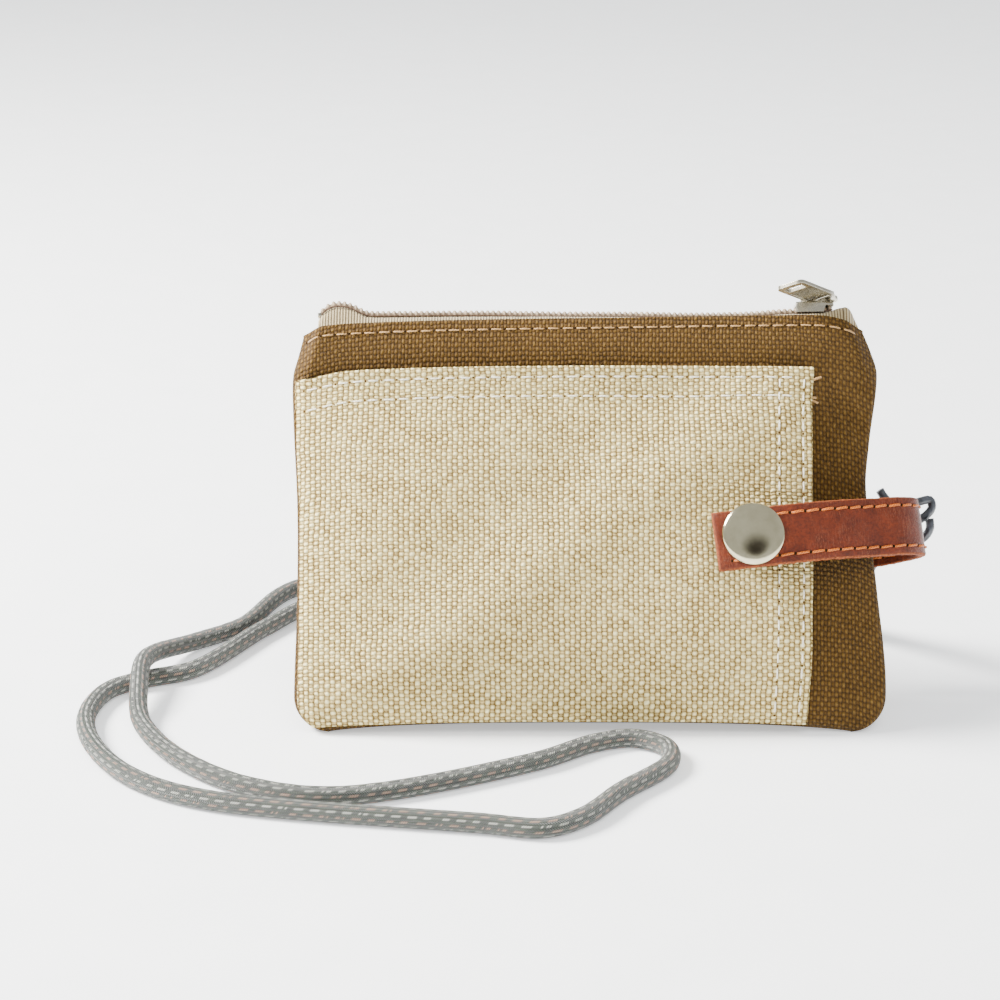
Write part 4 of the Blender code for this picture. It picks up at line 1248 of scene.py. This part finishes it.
def make_coils(finishes):
    """The two halves of the coil: a flattened loop of nylon at each pitch, and the cord that it is sewn over."""
    for name, side in (("front", -1), ("back", 1)):
        batch = Batch()
        shift = 0.0 if side < 0 else COIL_PITCH / 2
        for k in range(int((CHAIN_RIGHT + 58.0 - 1.2) / COIL_PITCH)):
            x = COIL_LEFT + shift + k * COIL_PITCH
            path = smooth_path([(x + along, side * y, z) for y, z, along in COIL_LOOP], 0.34)
            batch.tube([chain_place(*p) for p in path], 0.36, 8)
        batch.tube(chain_line(side * 1.3, 0.8, CHAIN_RIGHT - 0.8), 0.48, 10)
        coil = batch.piece(f"zip_coil_{name}_loops", finishes["coil"], "pouch")
        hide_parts(f"zip_coil_{name}")
        line = Batch()
        line.tube(chain_line(side * 2.25, 0.36, CHAIN_RIGHT - 0.2), 0.15, 6)
        line.piece(f"coil_thread_{name}", finishes["coil thread"], "pouch")


def squared(a):
    """Cosine and sine of an angle, pushed out towards a square."""
    return (math.copysign(abs(c) ** 0.55, c) for c in (math.cos(a), math.sin(a)))


def make_stops(finishes):
    """Crimped stops at the chain's ends: one on each tape at the right, and one across both at the left."""
    for node, x, y, half in (
        ("zip_top_stop_front", 54.3, -1.35, 0.85),
        ("zip_top_stop_back", 54.3, 1.35, 0.85),
        ("zip_bottom_stop", -57.9, 0.0, 2.1),
    ):
        sections = []
        for dx, shrink in ((-0.55, 0.82), (-0.4, 1.0), (0.4, 1.0), (0.55, 0.82)):
            section = []
            for k in range(24):
                across, up = squared(math.tau * k / 24)
                section.append(on_chain((x + dx, y + half * shrink * across, TAPE_Z + 0.75 + 0.6 * shrink * up)))
            sections.append(section)
        stop = loft_piece(node + "_crimp", sections, finishes["nickel"], "pouch")
        stop.data.shade_smooth()
        stop.data.set_sharp_from_angle(angle=math.radians(50))
        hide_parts(node)


# ---- slider and pull tab --------------------------------------------------------------------------------


def slider_place(p):
    return world(on_chain((SLIDER_X + p[0], p[1], p[2])))


def make_slider(finishes):
    """Cast slider: a flanged top plate, a bottom plate and the divider between them, with soft cast edges."""
    nickel = finishes["nickel"]
    half = SLIDER_LENGTH / 2
    top = TOP_PLATE_Z + PLATE / 2
    under = TOP_PLATE_Z - PLATE / 2
    flange = TAPE_Z + TAPE / 2 + 0.35
    nose = under - 0.1
    sections = []
    for x, pinch, low in (
        (-half, 0.45, flange), (-half + 1.0, 0.1, flange), (-1.2, 0.0, flange), (1.8, 0.0, flange),
        (2.3, 0.2, nose), (half - 0.6, 0.7, nose), (half, 1.2, nose),
    ):
        outer = SLIDER_HALF_WIDTH - pinch
        within = min(2.65, outer - 0.55)
        sections.append([
            (x, -outer, low), (x, -within, low), (x, -within, under), (x, within, under), (x, within, low),
            (x, outer, low), (x, outer, top - 0.35), (x, outer - 0.35, top), (x, 0.35 - outer, top),
            (x, -outer, top - 0.35),
        ])
    body = loft_piece("slider_casting", sections, nickel, "slider", slider_place)
    bottom = TAPE_Z - TAPE / 2 - 0.3
    for low, high, stations in (
        (bottom - 0.6, bottom, ((-half, 0.9), (-half + 1, 1.2), (half - 1, 1.2), (half, 1.0))),
        (bottom - 0.3, TOP_PLATE_Z, ((1.0, 0.12), (2.0, 0.4), (half - 0.2, 0.42))),
    ):
        sections = [[(x, -w, low), (x, w, low), (x, w, high), (x, -w, high)] for x, w in stations]
        combine(body, loft_piece("slider tool", sections, nickel, None, slider_place), "UNION")
    bevelled(body, 0.14, 2, 40)
    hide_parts("slider_body")

    foot = top + 0.06
    arch = foot + 2.45
    outline = [
        (-2.85, foot), (-1.75, foot), (-1.75, arch - 0.7), (-1.2, arch - 0.35), (1.6, arch - 0.35),
        (2.7, arch - 0.8), (2.7, foot), (3.8, foot), (3.8, arch - 0.4), (2.6, arch + 0.35), (-1.6, arch + 0.35),
        (-2.85, arch - 0.3),
    ]
    sections = [[(x, y, z) for x, z in outline] for y in (-0.7, 0.7)]
    bridge = loft_piece("slider_bridge_arch", sections, nickel, "slider", slider_place)
    bevelled(bridge, 0.18, 3, 25)
    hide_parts("slider_bridge")


def tab_place(p):
    """Pull tab frame: its length along its own -Y from the bridge's leg; it leans over on its near edge."""
    across, up = turned(p[0], p[2], -TAB_ROLL)
    x, y = turned(across, p[1], TAB_HEADING)
    return world(on_chain((TAB_PIVOT_X + x, y, TAB_Z + TAB_RAISE + up)))


def rounded_outline(half, low, high, radius):
    """Closed outline of a rounded rectangle from y low to high."""
    out = []
    for cx, cy, start in (
        (half - radius, high - radius, 0), (radius - half, high - radius, 90),
        (radius - half, low + radius, 180), (half - radius, low + radius, 270),
    ):
        out += arc(cx, cy, radius, start, start + 90, 6)
    return out


def make_pull_tab(finishes):
    """Flat tab with a raised rim, an eye round the bridge's leg and a slot near its free end."""
    half = TAB_HALF_WIDTH
    end = -TAB_LENGTH
    neck = arc(0, 0, 2.05, 190, -10, 16)
    corner = arc(half - 1.3, end + 1.3, 1.3, 0, -90, 6)
    side = [(half - 0.5, -2.2), (half, -3.2), (half, -6), (half, -10), *corner]
    outline = neck + side + [(-x, y) for x, y in reversed(side)]
    face = TAB_PLATE / 2
    sections = [[(x, y, z) for x, y in outline] for z in (-face, face)]
    tab = loft_piece("pull_tab_plate", sections, finishes["nickel"], "pull_tab", tab_place)
    hole = arc(0, 0, 1.3, 0, 345, 23)
    slot = rounded_outline(2.1, end + 1.6, end + 4.0, 0.5)
    hollow = rounded_outline(half - 0.6, end + 4.9, -3.6, 0.7)
    for cut, low, high in ((hole, -1, 1), (slot, -1, 1), (hollow, face - 0.16, 1), (hollow, -1, 0.16 - face)):
        sections = [[(x, y, z) for x, y in cut] for z in (low, high)]
        combine(tab, loft_piece("tab tool", sections, finishes["nickel"], None, tab_place), "DIFFERENCE")
    bevelled(tab, 0.12, 3, 40)
    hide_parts("pull_tab")


# ---- strap and snap -------------------------------------------------------------------------------------


def strap_levels():
    """Y of the snap's layers and of the strap's two ends, as the frame has them."""
    centre, _ = front_at(SNAP_X, SNAP_Z)
    pocket_y = centre.y - POCKET_FULL_GAP - POCKET_CANVAS
    stud = pocket_y - 0.3 - BASE_PLATE
    socket = stud - 0.3 - SOCKET
    leather = socket - 0.3 - LEATHER / 2
    highest = 0.0
    for across in (-1, -0.5, 0, 0.5, 1):
        s = RIVET_S - 7.6
        x = SNAP_X + s * math.cos(STRAP_TILT)
        z = SNAP_Z + s * math.sin(STRAP_TILT) + across * STRAP_WIDTH / 2
        highest = max(highest, back_point(*locate(x, z)).y)
    return {"stud": stud, "socket": socket, "leather": leather, "anchor": highest + 0.4 + LEATHER / 2}


def strap_line(levels):
    """Middle line of the whole strap, from its front end round the side to its end under the rivet."""
    y, anchor = levels["leather"], levels["anchor"]
    route = [
        (-8.4, y + 0.1), (0, y), (9, y + 0.6), (18, y + 3.0), (26, -8.4), (32.4, -5.6), (36.2, -1.2), (36.6, 2.8),
        (34, 6.9), (28, 10.6), (21, 13.4), (RIVET_S + 6, anchor - 0.4), (RIVET_S, anchor), (RIVET_S - 7.6, anchor),
    ]
    return smooth_path([(x, y, 0) for x, y in route], STRAP_STEP)


def strap_section(half_width, half_thick, corner):
    """(out, across, edge) points round the strap's section; edge is 1 on the cut edge."""
    out = []
    for side in (1, -1):
        for k in range(9):
            across = half_width * side * (1 - 2 * k / 8) * (1 - corner / half_width)
            out.append((half_thick * side, across, 0.0))
        for k in range(1, 6):
            a = math.pi * k / 6
            out.append((
                side * half_thick * math.cos(a),
                side * (-half_width + corner - corner * math.sin(a)),
                1.0,
            ))
    return out


def make_strap(finishes, levels):
    """The leather strap, with a groove along both edges on both faces; returns its middle line."""
    line = strap_line(levels)
    section = strap_section(STRAP_WIDTH / 2, LEATHER / 2, 0.4)
    points, marks = [], []
    total = len(line)
    for i, p in enumerate(line):
        ahead = (line[min(i + 1, total - 1)] - line[max(i - 1, 0)]).normalized()
        normal = Vector((ahead.y, -ahead.x, 0))
        s = i * STRAP_STEP
        end = min(i, total - 1 - i) * STRAP_STEP
        thin = 0.72 + 0.28 * ease(end / 0.7)
        for out, across, edge in section:
            ragged = groove = 0.0
            if edge:
                ragged = 0.16 * wobble(s, across, 0.8, 9.0) + 0.10 * wobble(s, across, 0.35, 4.0)
            elif 0.55 < abs(across) / (STRAP_WIDTH / 2) < 0.95:
                groove = 0.12 * math.exp(-(((abs(across) - GROOVE) / 0.7) ** 2))
            bow = 0.10 * wobble(s, across, 7.0, 2.0)
            q = p + normal * (out * thin - math.copysign(groove, out) + bow)
            points.append(on_strap((q.x, q.y, across + math.copysign(ragged, across))))
            marks.append((s, across, max(edge, 1 - ease(end / 0.3))))
    count = len(section)
    faces = grid_faces(total, count, wrap=True)
    faces += [tuple(reversed(range(count))), tuple(range((total - 1) * count, total * count))]
    strap = mesh_piece("strap_leather", points, faces, finishes["leather"], None, {"leather": marks})
    outward(strap)
    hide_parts("strap_front", "strap_back")
    hinge_blend(strap)
    return line


def hinge_blend(piece):
    """Bakes the piece's placement into its mesh; the ends of the turn's front half are worked out but not used."""
    start = world(on_strap((33.0, -0.5, 0)))
    end = world(on_strap((33.0, -8.2, 0)))
    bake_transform(piece)


def make_strap_stitches(finishes, line):
    """Saddle stitches in a groove along both edges, with a dark disc of painted shade for the needle hole between
    each two.
    """
    draw = random.Random(5)
    rows = Batch()
    hole_shades = Batch()
    lengths = [0.0]
    for a, b in zip(line, line[1:]):
        lengths.append(lengths[-1] + (b - a).length)

    def at(s, across, out):
        """The place at a length along the strap, out from its middle line."""
        i = min(max(int(s / STRAP_STEP), 0), len(line) - 2)
        share = (s - lengths[i]) / max(lengths[i + 1] - lengths[i], 1e-6)
        ahead = (line[i + 1] - line[i]).normalized()
        q = line[i].lerp(line[i + 1], share) + Vector((ahead.y, -ahead.x, 0)) * out
        return on_strap((q.x, q.y, across))

    first, last = 3.2, lengths[-1] - 5.5
    for across in (-GROOVE, GROOVE):
        tilt = 0.26 if across > 0 else 0.22
        for face in (1, -1):
            for k in range(math.ceil((last - first) / LEATHER_PITCH) - 1):
                start = first + k * LEATHER_PITCH
                path = []
                for i in range(9):
                    t = i / 8
                    out = LEATHER / 2 - 0.45 + 0.62 * math.sin(math.pi * t) ** 0.4
                    aside = tilt * (t - 0.5) + draw.uniform(-0.02, 0.02)
                    path.append(at(start + t * 2.75, across + aside, face * out))
                rows.tube(path, 0.28, 8)
                # Painted shade of the needle hole: a short dark tube flush with the leather.
                pit = [at(start - 0.28, across, face * (LEATHER / 2 - depth)) for depth in (0.22, 0.0)]
                hole_shades.tube(pit, 0.3, 10)
    stitches = rows.piece("strap_stitches", finishes["orange thread"], None)
    # Painted shade of the needle holes between the stitches.
    hole_shade_piece = hole_shades.piece("strap_stitch_hole_shades", finishes["brown hole shade"], None)
    for piece in (stitches, hole_shade_piece):
        hinge_blend(piece)


def make_snap(finishes, levels):
    """Domed cap and its socket on the strap, stud on the pocket, rivet at the back."""
    nickel = finishes["nickel"]
    outer = levels["leather"] - LEATHER / 2 - 0.12
    near, far = levels["socket"], levels["socket"] + SOCKET
    radii = [0.02 + 6.05 * k / 14 for k in range(15)]
    profile = [
        *((r, outer - 0.62 - 1.18 * math.sqrt(max(1 - (r / 6.35) ** 2, 0))) for r in radii),
        (6.3, outer - 0.78), (6.46, outer - 0.62), (6.52, outer - 0.4), (6.44, outer - 0.18), (6.25, outer - 0.06),
        (5.6, outer), (1.3, outer), (1.3, near + 0.6), (0.02, near + 0.6),
    ]
    cap = lathe_piece("snap_cap_dome", profile, finishes["cap nickel"], "strap", SNAP_SHIFT)
    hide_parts("snap_cap")

    profile = [
        (1.65, near), (4.7, near), *arc(4.95, near + 0.35, 0.35, -90, 0, 5), *arc(4.95, far - 0.35, 0.35, 0, 90, 5),
        (3.2, far), (2.75, far - 0.2), (2.75, near + 0.8), (1.65, near + 0.8),
    ]
    socket = lathe_piece("snap_socket_ring", profile, nickel, "strap", SNAP_SHIFT, closed=True)
    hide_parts("snap_socket")

    face = levels["stud"]
    base = face + BASE_PLATE
    profile = [
        (0.02, face - 1.6), (1.1, face - 1.58), *arc(1.45, face - 1.1, 0.5, -80, 40, 6), (1.75, face - 0.4),
        (1.95, face - 0.05), (4.3, face), *arc(4.4, face + 0.35, 0.35, -90, 60, 5), (4.6, base), (1.0, base),
        (1.0, face + 2.6), (0.02, face + 2.6),
    ]
    stud = lathe_piece("snap_stud_post", profile, nickel, "pouch", SNAP_SHIFT)
    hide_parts("snap_stud")

    seat = levels["anchor"] + LEATHER / 2 + 0.3
    inner = levels["anchor"] - 4.6
    profile = [
        (0.02, seat + 1.1), (1.2, seat + 1.06), (2.4, seat + 0.9), (3.3, seat + 0.62), (3.8, seat + 0.3),
        (3.92, seat + 0.12), (3.8, seat), (1.2, seat), (1.2, inner), (0.02, inner),
    ]
    rivet = lathe_piece("strap_rivet_head", profile, nickel, "pouch", (RIVET_S, 0.0))
    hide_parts("strap_rivet")


# ---- cord tie -------------------------------------------------------------------------------------------


def make_tie(finishes):
    """The thin black cord: round the strap's back part, knotted behind it, with two cut tips."""
    batch = Batch()
    batch.tube(smooth_path(TIE_ROUTE, 0.45), TIE_DIAMETER / 2, 16)
    tie = batch.piece("cord_tie_knot", finishes["waxed cord"], "pouch")
    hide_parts("cord_tie")
    return tie


# ---- carried-over nodes ---------------------------------------------------------------------------------


def finish_nodes(frame, finishes):
    """The frame's own solids that stay in sight get their material."""
    kept = {"seam_binding_left": "binding", "seam_binding_right": "binding", "seam_binding_bottom": "binding",
            "snap_stud_washer": "nickel", "strap_rivet_washer": "nickel"}
    for node, key in kept.items():
        obj = frame["nodes"][node]
        obj.data.materials.clear()
        obj.data.materials.append(finishes[key])


def main():
    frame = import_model()
    finishes = make_finishes()
    make_camera()
    cord, cord_path, cord_length = make_neck_cord(finishes)
    make_light()
    make_floor(finishes)
    make_panel("front_panel_cloth", front_face, -1, "front_panel", finishes)
    make_panel("back_panel_cloth", back_face, 1, "back_panel", finishes)
    make_pocket(finishes)
    make_fold_stitches(finishes)
    make_pocket_stitches(finishes)
    make_loose_ends(finishes)
    make_tapes(finishes)
    make_coils(finishes)
    make_stops(finishes)
    make_slider(finishes)
    make_pull_tab(finishes)
    levels = strap_levels()
    line = make_strap(finishes, levels)
    make_strap_stitches(finishes, line)
    make_snap(finishes, levels)
    tie = make_tie(finishes)
    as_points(cord_path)
    finish_nodes(frame, finishes)


main()
